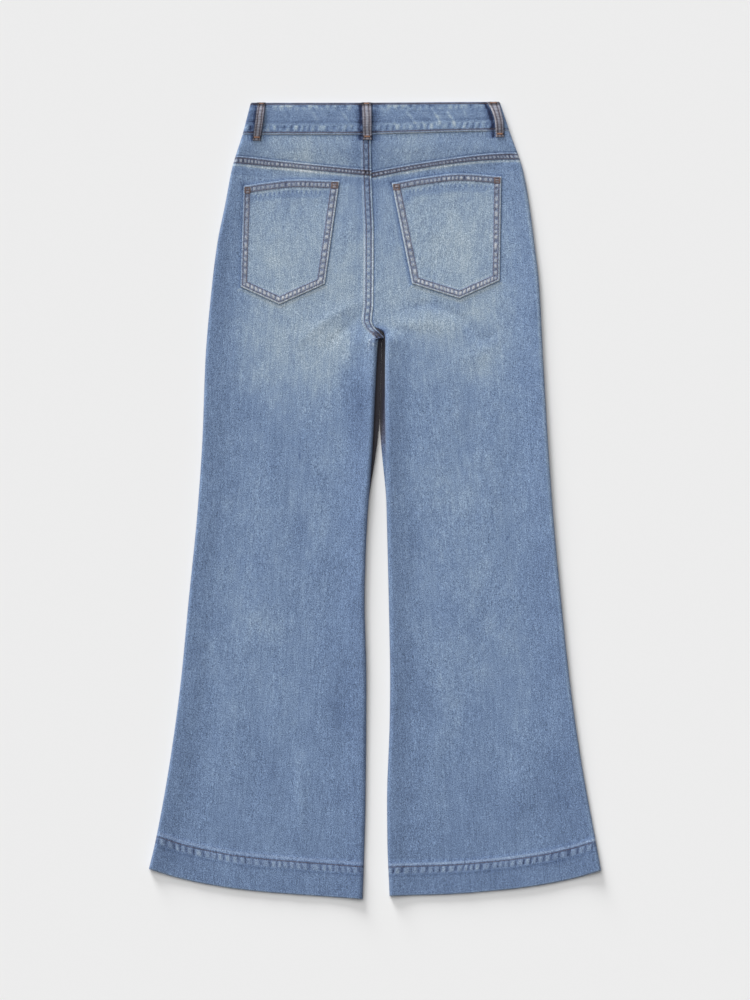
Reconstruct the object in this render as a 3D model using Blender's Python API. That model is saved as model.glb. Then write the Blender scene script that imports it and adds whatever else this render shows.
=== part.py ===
"""Wide bootcut jeans, laid flat with the back side up.

Sizes are in millimetres and become metres where the vertices are made. X runs to the right of
the back view, Y runs towards the waist, and Z runs up from the surface that the jeans lie on.
"down" is a place's distance below the highest point of the waistband, along -Y. "left" and
"right" are the wearer's, which are also the left and right of the back view.
"""

import math

import bmesh
import bpy

MM = 0.001

# Cloth
GAP = 0.3  # between pieces that touch
WALL = 1.2  # one layer of denim
BAND_WALL = 2.2  # the waistband, folded double
HEM_FOLD = 0.9  # what the turned-up cloth adds to a leg's wall
HEM_RISE = 8.0  # how far above the stitching the hem's thickness begins
HEM_GROOVE = 0.35  # how deep the hem's stitching sinks
STRIP_RAISE = 0.8  # how far a felled seam stands out of its panel
STRIP_SLOPE = 1.3  # width of the slope at a felled seam's edge
YOKE_STRIP = 9.0  # width of the felled seam below the yoke
CENTRE_STRIP = 11.8  # width of the felled seam at the centre back

# How the two layers lie on each other
ROOM = 0.7  # between the layers in the middle of a leg
EDGE_ROOM = 3.1  # between them along a leg's edges
ROOM_REACH = 34.0  # how far from an edge the wider room reaches
LIFT_REACH = 58.0  # how far from an edge the cloth lifts off the surface
ROLL = 4.0  # how far in from an outer edge the cloth rolls down
INNER_ROLL = 5.2  # the same along the inner leg, whose seam is thicker
INSEAM_REACH = 20.0  # how far the thick inner seam reaches into the leg
WAIST_LIFT = 2.9  # the band lies on its front loops and button
WAIST_LIFT_FROM, WAIST_LIFT_TO = 52.0, 98.0  # down, full lift to none
BAND_ROOM = 0.5
BAND_EDGE_ROOM = 1.5
YOKE_ROOM = 0.6  # more room under the yoke, beside the thicker band
YOKE_ROOM_TO = 120.0  # down, where that room has gone

# Height of the whole, from its highest point to the lowest point of the left hem
TOTAL_DOWN = 1021.4
CENTRE_DOWN = 0.6 + (TOTAL_DOWN - 0.6) / 2
CROTCH_FROM, CROTCH_TO = 286.0, 308.0  # down, one seat to two legs
HEM_DEPTH = {"left": 40.3, "right": 36.8}
OUTWARD = {"left": -1.0, "right": 1.0}

# Patch pockets
POCKET_BORDER = 7.4  # sides and point, turned in and sewn twice
POCKET_HEM = 10.0
POCKET_RAISE = 0.6  # the turned-in border over the middle
POCKET_MOUTH = 0.5  # how far the mouth stands off the panel

# Belt loops and button
LOOP_WALL = 1.4
LOOP_END = 2.1  # where the end is folded under
LOOP_EDGE = 0.35  # how much thinner a loop is at its long edges
LOOP_STAND = 2.7  # how far a back loop stands off the band
FRONT_LOOP_STAND = 1.15
BUTTON_RADIUS = 8.5
BUTTON_THICK = 2.0
BUTTON_RIM = 1.6
BUTTON_DOWN = 20.0
BUTTON_SIDES = 28

DENIM = (0.262, 0.353, 0.467)
DENIM_SEAT = (0.302, 0.396, 0.503)
DENIM_BAND = (0.202, 0.275, 0.386)
DENIM_LOOP = (0.246, 0.240, 0.262)
COPPER = (0.43, 0.23, 0.13)


class Table:
    """Rows of numbers under named columns, read between rows on a curve with no overshoot."""

    def __init__(self, columns, *rows):
        self.places = [row[0] for row in rows]
        self.values = {}
        self.slopes = {}
        for index, name in enumerate(columns[1:], start=1):
            self.values[name] = [row[index] for row in rows]
            self.slopes[name] = self.find_slopes(self.values[name])

    def find_slopes(self, values):
        steps = [b - a for a, b in zip(self.places, self.places[1:])]
        rises = [(b - a) / s for a, b, s in zip(values, values[1:], steps)]
        slopes = [rises[0]]
        for before, after in zip(rises, rises[1:]):
            turns = before * after <= 0
            slopes.append(0.0 if turns else 2 * before * after / (before + after))
        slopes.append(rises[-1])
        return slopes

    def at(self, name, place):
        places, values, slopes = self.places, self.values[name], self.slopes[name]
        if place <= places[0]:
            return values[0]
        if place >= places[-1]:
            return values[-1]
        row = max(i for i, start in enumerate(places) if start <= place)
        step = places[row + 1] - places[row]
        t = (place - places[row]) / step
        return (
            values[row] * (1 + 2 * t) * (1 - t) ** 2
            + slopes[row] * step * t * (1 - t) ** 2
            + values[row + 1] * t * t * (3 - 2 * t)
            + slopes[row + 1] * step * t * t * (t - 1)
        )


# Outlines of the back view: x of each side at a distance down
OUTER_EDGES = Table(
    ("down", "left", "right"),
    (0.0, -157.7, 159.0),
    (40.0, -168.1, 172.4),
    (85.0, -182.2, 187.3),
    (130.0, -191.3, 195.7),
    (180.0, -200.6, 203.1),
    (230.0, -207.5, 208.7),
    (330.0, -216.2, 214.4),
    (430.0, -219.4, 219.3),
    (530.0, -226.6, 226.8),
    (640.0, -237.5, 237.0),
    (740.0, -247.6, 247.6),
    (840.0, -260.6, 262.4),
    (945.0, -279.5, 281.4),
    (984.0, -288.8, 288.3),
    (1022.0, -298.5, 295.8),
)
# Where the back panels end: the centre back seam, its bend into the crotch, the inner legs
INNER_EDGES = Table(
    ("down", "left", "right"),
    (38.0, -3.2, -2.9),
    (91.0, -2.8, -2.5),
    (165.0, -1.3, -1.0),
    (257.0, -2.4, -2.1),
    (280.0, -4.5, -4.2),
    (288.0, -1.6, -0.4),
    (290.8, 0.3, 4.9),
    (293.8, 3.7, 10.0),
    (298.2, 8.4, 12.4),
    (302.4, 11.6, 12.9),
    (304.4, 4.5, 13.0),
    (331.0, 1.9, 13.4),
    (385.0, -0.7, 13.5),
    (434.0, -3.2, 14.4),
    (485.0, -7.0, 14.9),
    (536.0, -10.9, 16.0),
    (588.0, -13.4, 17.3),
    (640.0, -14.7, 18.6),
    (741.0, -12.2, 20.5),
    (792.0, -12.2, 19.8),
    (895.0, -13.4, 16.2),
    (946.0, -14.7, 16.6),
    (1021.4, -17.3, 19.8),
)
FRONT_CENTRE = Table(
    ("down", "x"),
    (38.0, 0.0),
    (200.0, 1.5),
    (302.0, 8.5),
    (400.0, 6.2),
    (520.0, 3.0),
)
FRONT_OPENS_FROM, FRONT_OPENS_TO = 395.0, 515.0  # down, where the front legs part
# Seams that cross the back, by x
BAND_LINES = Table(
    ("x", "top", "bottom"),
    (-168.0, 2.4, 41.0),
    (-31.0, 2.6, 41.0),
    (33.0, 1.9, 40.2),
    (135.0, 0.6, 38.1),
    (172.0, 0.6, 37.8),
)
# down of the yoke seam and of the hem's edge, from the outer edge (0) to the inner one (1)
YOKE_SEAM = Table(
    ("across", "left", "right"),
    (0.0, 71.0, 67.2),
    (0.25, 75.5, 68.4),
    (0.5, 81.9, 75.0),
    (0.75, 86.6, 83.2),
    (1.0, 90.9, 92.0),
)
HEM_EDGE = Table(
    ("across", "left", "right"),
    (0.0, 983.0, 985.3),
    (0.14, 994.6, 994.2),
    (0.3, 1004.0, 1002.6),
    (0.48, 1010.3, 1009.5),
    (0.75, 1016.2, 1015.3),
    (1.0, 1021.4, 1015.7),
)
# How high the cloth lifts off the surface along each edge
EDGE_LIFT = Table(
    ("down", "outer_left", "inner_left", "inner_right", "outer_right"),
    (0.0, 0.8, 0.0, 0.0, 1.2),
    (150.0, 1.8, 0.0, 0.0, 3.0),
    (300.0, 2.0, 0.6, 0.6, 3.6),
    (400.0, 2.0, 1.4, 1.2, 4.4),
    (500.0, 2.2, 4.2, 2.4, 4.6),
    (650.0, 2.2, 4.0, 2.4, 4.2),
    (850.0, 1.6, 2.0, 1.4, 2.8),
    (1022.0, 0.5, 0.7, 0.5, 0.9),
)
INSEAM_BULK = Table(
    ("down", "extra"),
    (286.0, 0.0),
    (310.0, 2.0),
    (430.0, 1.8),
    (600.0, 0.9),
    (760.0, 0.2),
)
# Soft folds in the back layer: where, half sizes, lean from the leg's length, height
FOLDS = (
    {"x": -96, "down": 898, "wide": 10, "long": 48, "lean": 3, "high": 0.9},
    {"x": -128, "down": 560, "wide": 30, "long": 140, "lean": 2, "high": 0.9},
    {"x": -58, "down": 420, "wide": 20, "long": 95, "lean": -4, "high": 0.8},
    {"x": -188, "down": 770, "wide": 20, "long": 110, "lean": 8, "high": 0.9},
    {"x": -60, "down": 740, "wide": 24, "long": 120, "lean": 0, "high": 0.7},
    {"x": 112, "down": 640, "wide": 28, "long": 150, "lean": -3, "high": 0.9},
    {"x": 62, "down": 838, "wide": 18, "long": 85, "lean": 2, "high": 0.8},
    {"x": 188, "down": 880, "wide": 17, "long": 75, "lean": -9, "high": 0.8},
    {"x": 152, "down": 440, "wide": 25, "long": 95, "lean": -4, "high": 0.8},
    {"x": 72, "down": 470, "wide": 18, "long": 80, "lean": 5, "high": 0.7},
)

POCKETS = {
    "left": {
        "top": ((-166.9, 107.9), (-135.0, 103.0), (-99.3, 99.7), (-43.9, 101.4)),
        "bottom": ((-171.1, 236.5), (-121.5, 259.1), (-62.7, 233.7)),
    },
    "right": {
        "top": ((23.3, 106.1), (66.0, 98.5), (110.7, 94.0), (163.2, 97.7)),
        "bottom": ((49.3, 232.3), (109.7, 251.6), (161.0, 229.6)),
    },
}

BACK_LOOPS = {
    "belt_loop_left": Table(
        ("down", "left", "right"),
        (1.4, -150.6, -140.0),
        (25.0, -153.4, -142.6),
        (50.0, -156.9, -146.3),
    ),
    "belt_loop_centre": Table(
        ("down", "left", "right"),
        (1.2, -17.1, -4.7),
        (25.0, -16.2, -4.4),
        (49.0, -15.6, -4.3),
    ),
    "belt_loop_right": Table(
        ("down", "left", "right"),
        (0.6, 142.9, 158.6),
        (11.0, 148.9, 160.9),
        (27.0, 153.6, 164.2),
        (45.6, 154.8, 165.1),
    ),
}
FRONT_LOOPS = {
    "belt_loop_front_left": Table(
        ("down", "left", "right"), (1.4, -98.0, -86.0), (49.0, -100.0, -88.0)
    ),
    "belt_loop_front_right": Table(
        ("down", "left", "right"), (1.4, 86.0, 98.0), (48.0, 88.0, 100.0)
    ),
}
# Along a loop, from its top end (0) to its bottom end (1): share of its stand-off, and fold
LOOP_PROFILE = Table(
    ("along", "stand", "folded"),
    (0.0, 0.0, 1.0),
    (0.07, 0.0, 1.0),
    (0.1, 0.1, 0.0),
    (0.2, 0.6, 0.0),
    (0.4, 1.0, 0.0),
    (0.62, 0.85, 0.0),
    (0.76, 0.4, 0.0),
    (0.86, 0.0, 0.0),
    (0.89, 0.0, 1.0),
    (1.0, 0.0, 1.0),
)
LOOP_STEPS = (0.0, 0.035, 0.07, 0.1, 0.15, 0.22, 0.32, 0.45, 0.6, 0.7, 0.78, 0.85, 0.89, 0.95, 1.0)


def blend(a, b, share):
    return a + (b - a) * share


def smooth(start, end, place):
    """0 at start, 1 at end, with no corner at either."""
    t = min(1.0, max(0.0, (place - start) / (end - start)))
    return t * t * (3 - 2 * t)


def near(distance, reach):
    """1 on an edge, 0 from reach inwards."""
    return 1.0 - smooth(0.0, reach, distance)


def split(down):
    """0 over the seat, 1 where there are two legs."""
    return smooth(CROTCH_FROM, CROTCH_TO, down)


def side_of(x, down):
    middle = INNER_EDGES.at("left", down) + INNER_EDGES.at("right", down)
    return "left" if x < middle / 2 else "right"


def to_metres(point):
    x, down, z = point
    return (x * MM, (CENTRE_DOWN - down) * MM, z * MM)


def fold_height(x, down):
    """Sum of the soft folds that reach a place of the back layer."""
    total = 0.0
    for fold in FOLDS:
        lean = math.radians(fold["lean"])
        dx, dy = x - fold["x"], down - fold["down"]
        across = (dx * math.cos(lean) - dy * math.sin(lean)) / fold["wide"]
        along = (dx * math.sin(lean) + dy * math.cos(lean)) / fold["long"]
        total += fold["high"] * math.exp(-(across**2) - along**2)
    return total


def edge_distances(x, down, side):
    """How far inside the leg's outer and inner edge a place is."""
    below_crotch = max(down, 331.0)
    outer = abs(x - OUTER_EDGES.at(side, down))
    inner = (x - INNER_EDGES.at(side, below_crotch)) * OUTWARD[side]
    return outer, max(0.0, inner)


def underside(x, down, side):
    """Height of the lowest face: nothing where the jeans rest."""
    outer, inner = edge_distances(x, down, side)
    lift = near(outer, LIFT_REACH) * EDGE_LIFT.at("outer_" + side, down)
    lift += near(inner, LIFT_REACH) * EDGE_LIFT.at("inner_" + side, down) * split(down)
    waist = WAIST_LIFT * (1.0 - smooth(WAIST_LIFT_FROM, WAIST_LIFT_TO, down))
    return max(lift, waist) if waist < WAIST_LIFT else waist


def back_wall(x, down, side, hem):
    """Thickness of the back layer, with its thick inner seam and its hem."""
    inner = edge_distances(x, down, side)[1]
    bulk = INSEAM_BULK.at("extra", down) * near(inner, INSEAM_REACH) * split(down)
    return WALL + bulk + HEM_FOLD * hem


def front_top(x, down, side, hem=0.0):
    return underside(x, down, side) + WALL + HEM_FOLD * hem


def back_top(x, down, side, hem=0.0):
    """Height of the back layer's upper face, without its seams."""
    outer, inner = edge_distances(x, down, side)
    edge = max(near(outer, ROOM_REACH), near(inner, ROOM_REACH) * split(down))
    room = blend(ROOM, EDGE_ROOM, edge) + fold_height(x, down) * (1.0 - edge) * (1.0 - hem)
    room += YOKE_ROOM * (1.0 - edge) * (1.0 - smooth(WAIST_LIFT_FROM, YOKE_ROOM_TO, down))
    room -= 0.3 * hem * (1.0 - edge)
    return front_top(x, down, side, hem) + room + back_wall(x, down, side, hem)


def shell(name, outer, inner, colour, roughness=0.85, metallic=0.0):
    """A closed wall between two grids of points that match."""
    rows, columns = len(outer), len(outer[0])
    mesh = bmesh.new()
    top = [[mesh.verts.new(to_metres(p)) for p in row] for row in outer]
    low = [[mesh.verts.new(to_metres(p)) for p in row] for row in inner]
    for r in range(rows - 1):
        for c in range(columns - 1):
            mesh.faces.new((top[r][c], top[r][c + 1], top[r + 1][c + 1], top[r + 1][c]))
            mesh.faces.new((low[r][c], low[r + 1][c], low[r + 1][c + 1], low[r][c + 1]))
    for r in range(rows - 1):
        mesh.faces.new((top[r][0], top[r + 1][0], low[r + 1][0], low[r][0]))
        mesh.faces.new((top[r + 1][-1], top[r][-1], low[r][-1], low[r + 1][-1]))
    for c in range(columns - 1):
        mesh.faces.new((top[0][c + 1], top[0][c], low[0][c], low[0][c + 1]))
        mesh.faces.new((top[-1][c], top[-1][c + 1], low[-1][c + 1], low[-1][c]))
    return finish(name, mesh, colour, roughness, metallic)


def finish(name, mesh, colour, roughness, metallic):
    """Turns a bmesh into a named object with its own material."""
    bmesh.ops.recalc_face_normals(mesh, faces=mesh.faces)
    data = bpy.data.meshes.new(name)
    mesh.to_mesh(data)
    mesh.free()
    data.shade_smooth()
    data.set_sharp_from_angle(angle=math.radians(40))
    piece = bpy.data.objects.new(name, data)
    bpy.context.scene.collection.objects.link(piece)
    material = bpy.data.materials.new(name)
    material.use_nodes = True
    shader = material.node_tree.nodes["Principled BSDF"]
    shader.inputs["Base Color"].default_value = (*colour, 1.0)
    shader.inputs["Roughness"].default_value = roughness
    shader.inputs["Metallic"].default_value = metallic
    data.materials.append(material)
    return piece


# Columns of a back panel from its outer edge to its inner one. An angle is a place on a rolled
# edge, 90 where the roll begins; a share lies between the rolls; a distance is from the inner edge.
BACK_COLUMNS = (
    *(("outer roll", angle) for angle in (0, 35, 65, 90)),
    *(("share", share) for share in (0.05, 0.12, 0.23, 0.37, 0.52, 0.67, 0.8, 0.9, 0.96)),
    ("distance", CENTRE_STRIP + STRIP_SLOPE),
    ("distance", CENTRE_STRIP),
    *(("inner roll", angle) for angle in (90, 62, 33, 0)),
)
TYPICAL_WIDTH = 215.0  # of a back panel, for how far across it a column lies


def share_across(kind, value):
    """About how far across its panel a column lies, from the outer edge to the inner one."""
    if kind == "outer roll":
        return ROLL * value / 90 / TYPICAL_WIDTH
    if kind == "inner roll":
        return 1.0 - INNER_ROLL * value / 90 / TYPICAL_WIDTH
    if kind == "distance":
        return 1.0 - value / TYPICAL_WIDTH
    start = ROLL / TYPICAL_WIDTH
    end = 1.0 - (CENTRE_STRIP + STRIP_SLOPE) / TYPICAL_WIDTH
    return blend(start, end, value)


def back_point(kind, value, side, down, hem, raise_by):
    """The outer and the inner point of the back layer at one column, as (x, z) pairs."""
    out = OUTWARD[side]
    outer_x = OUTER_EDGES.at(side, down)
    inner_x = INNER_EDGES.at(side, down)
    turn = math.radians(value)
    if kind == "outer roll":
        low = front_top(outer_x, down, side, hem) + GAP
        high = back_top(outer_x - out * ROLL, down, side, hem) + raise_by
        wall = back_wall(outer_x, down, side, hem)
        x = outer_x - out * ROLL * (1 - math.cos(turn))
        inside_x = outer_x - out * (wall + (ROLL - wall) * (1 - math.cos(turn)))
        z = low + (high - low) * math.sin(turn)
        inside_z = low + (high - raise_by - wall - low) * math.sin(turn)
        return (x, z), (inside_x, inside_z)
    if kind == "inner roll":
        rolled = split(down)
        low = front_top(inner_x, down, side, hem) + GAP
        flat_x = inner_x + out * INNER_ROLL * value / 90
        top = back_top(flat_x, down, side, hem) + raise_by
        high = back_top(inner_x + out * INNER_ROLL, down, side, hem)
        wall = back_wall(flat_x, down, side, hem)
        round_x = inner_x + out * INNER_ROLL * (1 - math.cos(turn))
        inside = inner_x + out * (wall + (INNER_ROLL - wall) * (1 - math.cos(turn)))
        x = blend(flat_x, round_x, rolled)
        inside_x = blend(flat_x, inside, rolled)
        z = blend(top, low + (high - low) * math.sin(turn), rolled)
        inside_z = low + (high - wall - low) * math.sin(turn)
        return (x, z), (inside_x, blend(top - raise_by - wall, inside_z, rolled))
    strip = CENTRE_STRIP + STRIP_SLOPE
    if kind == "distance":
        x = inner_x + out * value
    else:
        x = blend(outer_x - out * ROLL, inner_x + out * strip, value)
    top = back_top(x, down, side, hem)
    return (x, top + raise_by), (x, top - back_wall(x, down, side, hem))


def on_centre_strip(kind, value, side, down):
    """Whether a column is on the felled seam of the centre back, which the left side carries."""
    inside = kind == "inner roll" or (kind == "distance" and value <= CENTRE_STRIP)
    return 1.0 - smooth(298.0, 330.0, down) if side == "left" and inside else 0.0


def back_grids(side, lines, seam_raise=0.0):
    """Outer and inner points of a back panel. Each line gives down for a share across it, the
    hem's share of thickness, and how far it stands out as a seam."""
    outer, inner = [], []
    for line, hem, raised in lines:
        outer_row, inner_row = [], []
        for kind, value in BACK_COLUMNS:
            down = line(share_across(kind, value))
            strip = STRIP_RAISE * on_centre_strip(kind, value, side, down)
            lift = max(strip, raised) if raised >= 0 else strip + raised
            top, low = back_point(kind, value, side, down, hem, lift)
            outer_row.append((top[0], down, top[1]))
            inner_row.append((low[0], down, low[1]))
        outer.append(outer_row)
        inner.append(inner_row)
    return outer, inner


def leg_line(side, nominal):
    """down across a back panel for a line that is at nominal on the inner edge. It follows the
    yoke seam at the top and the hem at the bottom."""
    seam_end = YOKE_SEAM.at(side, 1.0)
    hem_end = HEM_EDGE.at(side, 1.0)
    by_seam = 1.0 - smooth(seam_end + YOKE_STRIP, 235.0, nominal)
    by_hem = smooth(760.0, hem_end - 60.0, nominal)

    def line(across):
        seam = YOKE_SEAM.at(side, across) - seam_end
        hem = HEM_EDGE.at(side, across) - hem_end
        return nominal + by_seam * seam + by_hem * hem

    return line


def hem_lines(side):
    """Nominal down of a hem's lines, with the hem's share of thickness and any groove."""
    edge = HEM_EDGE.at(side, 1.0)
    sewn = edge - HEM_DEPTH[side]
    return (
        (sewn - HEM_RISE, 0.0, 0.0),
        (sewn - 1.8, 0.85, 0.0),
        (sewn, 1.0, -HEM_GROOVE),
        (sewn + 1.8, 1.0, 0.0),
        (edge - 1.5, 1.0, 0.0),
        (edge, 0.6, 0.0),
    )


def make_back(side):
    """Back leg: the felled yoke seam on its top edge, the crotch, the inner leg and the hem."""
    seam = YOKE_SEAM.at(side, 1.0)
    strip_end = seam + YOKE_STRIP
    lines = [
        (leg_line(side, seam), 0.0, STRIP_RAISE - 0.2),
        (leg_line(side, seam + 1.0), 0.0, STRIP_RAISE),
        (leg_line(side, strip_end - STRIP_SLOPE), 0.0, STRIP_RAISE),
        (leg_line(side, strip_end), 0.0, 0.0),
    ]
    seat = (122.0, 150.0, 180.0, 210.0, 236.0, 258.0, 272.0, 280.0, 285.0)
    crotch = (288.0, 290.8, 293.8, 298.2, 302.4, 304.4, 310.0, 318.0)
    leg = (331.0, 355.0, 385.0, 415.0, 450.0, 490.0, 536.0, 588.0, 640.0, 690.0, 741.0)
    calf = (792.0, 840.0, 885.0, 920.0, 950.0)
    lines += [(leg_line(side, down), 0.0, 0.0) for down in (*seat, *crotch, *leg, *calf)]
    for nominal, hem, groove in hem_lines(side):
        lines.append((leg_line(side, nominal), hem, groove))
    return shell("back_" + side, *back_grids(side, lines), DENIM)


def band_bottom(side, across):
    """down of the waistband's lower edge at a share across one side of the back."""
    outer = OUTER_EDGES.at(side, 40.0)
    return BAND_LINES.at("bottom", blend(outer, INNER_EDGES.at(side, 40.0), across))


def make_yoke(side):
    """Yoke: from the waistband to the felled seam."""

    def line(share):
        def down(across):
            start = band_bottom(side, across) + GAP
            return blend(start, YOKE_SEAM.at(side, across) - GAP, share)

        return down

    lines = [(line(share), 0.0, 0.0) for share in (0.0, 0.33, 0.66, 1.0)]
    return shell("yoke_" + side, *back_grids(side, lines), DENIM_SEAT)


FRONT_COLUMNS = (0.0, 0.03, 0.08, 0.15, 0.28, 0.45, 0.6, 0.75, 0.86, 0.93, 0.97, 1.0)


def front_inner(side, down):
    """x of a front panel's inner edge: the centre front, and then the inner leg."""
    meeting = FRONT_CENTRE.at("x", down) + OUTWARD[side] * GAP / 2
    opened = smooth(FRONT_OPENS_FROM, FRONT_OPENS_TO, down)
    return blend(meeting, INNER_EDGES.at(side, down), opened)


def make_front(side):
    """Front leg, which the jeans lie on, from the waistband to the hem."""
    middle = (98.0, 125.0, 165.0, 210.0, 258.0, 285.0, 308.0, 331.0, 365.0, 400.0, 430.0)
    leg = (460.0, 490.0, 515.0, 560.0, 640.0, 741.0, 792.0, 840.0, 885.0, 920.0, 950.0)
    lines = [(share, 0.0, 0.0) for share in (0.0, 0.33, 0.66)]
    lines += [(down, 0.0, 0.0) for down in (*middle, *leg)]
    lines += [line for line in hem_lines(side) if line[2] == 0.0]
    outer, inner = [], []
    for nominal, hem, _ in lines:
        outer_row, inner_row = [], []
        for across in FRONT_COLUMNS:
            if nominal < 1.0:
                start = band_bottom(side, across) + GAP
                down = blend(start, leg_line(side, 98.0)(across), nominal)
            else:
                down = leg_line(side, nominal)(across)
            x = blend(OUTER_EDGES.at(side, down), front_inner(side, down), across)
            base = underside(x, down, side)
            outer_row.append((x, down, base))
            inner_row.append((x, down, front_top(x, down, side, hem)))
        outer.append(outer_row)
        inner.append(inner_row)
    return shell("front_" + side, outer, inner, DENIM)


def band_top(x, down):
    """Height of the waistband's back wall."""
    outer = abs(x - OUTER_EDGES.at(side_of(x, down), down))
    room = blend(BAND_ROOM, BAND_EDGE_ROOM, near(outer, ROOM_REACH))
    return WAIST_LIFT + 2 * BAND_WALL + room


def band_section(down_at, inset):
    """The waistband's outer and inner points round one line, from the left end at the centre
    front by way of the left edge, the back and the right edge to the right end."""
    outer, inner = [], []

    def add(x, inside_x, z, inside_z):
        down = down_at(x)
        outer.append((x, down, z))
        inner.append((inside_x, down, inside_z))

    def wall_of_front(side, shares):
        for share in shares:
            edge = OUTER_EDGES.at(side, down_at(0.0)) - OUTWARD[side] * ROLL
            x = blend(OUTWARD[side] * GAP / 2, edge, share)
            add(x, x, WAIST_LIFT + inset, WAIST_LIFT + BAND_WALL - inset)

    def edge_of(side, angles):
        for angle in angles:
            turn = math.radians(angle)
            edge = OUTER_EDGES.at(side, down_at(OUTWARD[side] * 160.0))
            top = band_top(edge - OUTWARD[side] * ROLL, 20.0)
            middle = (WAIST_LIFT + top) / 2
            height = (top - WAIST_LIFT) / 2
            core = edge - OUTWARD[side] * ROLL
            reach = OUTWARD[side] * math.cos(turn)
            add(
                core + reach * (ROLL - inset),
                core + reach * (ROLL - BAND_WALL + inset),
                middle + (height - inset) * math.sin(turn),
                middle + (height - BAND_WALL + inset) * math.sin(turn),
            )

    turns = (-90, -60, -30, 0, 30, 60, 90)
    wall_of_front("left", (0.0, 0.25, 0.5, 0.75, 0.93))
    edge_of("left", turns)
    left = OUTER_EDGES.at("left", down_at(-160.0)) + ROLL
    right = OUTER_EDGES.at("right", down_at(160.0)) - ROLL
    for share in (0.03, 0.07, 0.14, 0.24, 0.35, 0.45, 0.55, 0.65, 0.76, 0.86, 0.93, 0.97):
        x = blend(left, right, share)
        top = band_top(x, down_at(x))
        add(x, x, top - inset, top - BAND_WALL + inset)
    edge_of("right", reversed(turns))
    wall_of_front("right", (0.93, 0.75, 0.5, 0.25, 0.0))
    return outer, inner


# Lines round the waistband: share from its top edge to its bottom one, and how far it is rounded off
BAND_LINES_ROUNDED = (
    (0.0, 0.75),
    (0.04, 0.1),
    (0.3, 0.0),
    (0.65, 0.0),
    (0.96, 0.0),
    (1.0, 0.45),
)


def make_waistband():
    """Waistband: one double strip all round, its ends meeting over the button."""
    outer, inner = [], []
    for share, inset in BAND_LINES_ROUNDED:

        def down_at(x, share=share):
            return blend(BAND_LINES.at("top", x), BAND_LINES.at("bottom", x), share)

        outer_row, inner_row = band_section(down_at, inset)
        outer.append(outer_row)
        inner.append(inner_row)
    return shell("waistband", outer, inner, DENIM_BAND)


def loop_grids(table, base, stand, facing):
    """Outer and inner points of a belt loop. base gives the height it lies on; facing is 1 up
    and -1 down."""
    start, end = table.places[0], table.places[-1]
    outer, inner = [], []
    for along in LOOP_STEPS:
        down = blend(start, end, along)
        left, right = table.at("left", down), table.at("right", down)
        wall = blend(LOOP_WALL, LOOP_END, LOOP_PROFILE.at("folded", along))
        lift = stand * LOOP_PROFILE.at("stand", along)
        outer_row, inner_row = [], []
        for share, thinner in ((0.0, LOOP_EDGE), (0.12, 0.0), (0.88, 0.0), (1.0, LOOP_EDGE)):
            x = blend(left, right, share)
            height = base(x, down) + facing * (GAP + lift)
            outer_row.append((x, down, height + facing * (wall - thinner)))
            inner_row.append((x, down, height))
        outer.append(outer_row)
        inner.append(inner_row)
    return outer, inner


def back_of_waist(x, down):
    """Height of what a back loop is sewn to: the band, and below it the yoke."""
    band = band_top(x, min(down, 40.0))
    edge = BAND_LINES.at("bottom", x)
    strip = STRIP_RAISE if abs(x + 10.0) < 8.0 else 0.0
    yoke = back_top(x, max(down, edge), side_of(x, 60.0)) + strip
    return blend(band, yoke, smooth(edge + 0.5, edge + 2.2, down))


def front_of_waist(x, down):
    return WAIST_LIFT


def make_loops():
    for name, table in BACK_LOOPS.items():
        shell(name, *loop_grids(table, back_of_waist, LOOP_STAND, 1.0), DENIM_LOOP)
    for name, table in FRONT_LOOPS.items():
        grids = loop_grids(table, front_of_waist, FRONT_LOOP_STAND, -1.0)
        shell(name, *grids, DENIM_LOOP)


def along_points(points, share):
    """A place on a line through points, by its share of the way along x."""
    x = blend(points[0][0], points[-1][0], share)
    table = Table(("x", "down"), *points)
    return x, table.at("down", x)


def along_corners(points, share):
    """A place on straight lines through points, by its share of the way along x."""
    x = blend(points[0][0], points[-1][0], share)
    for (x0, down0), (x1, down1) in zip(points, points[1:]):
        if x <= x1:
            break
    return x, blend(down0, down1, (x - x0) / (x1 - x0))


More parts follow.
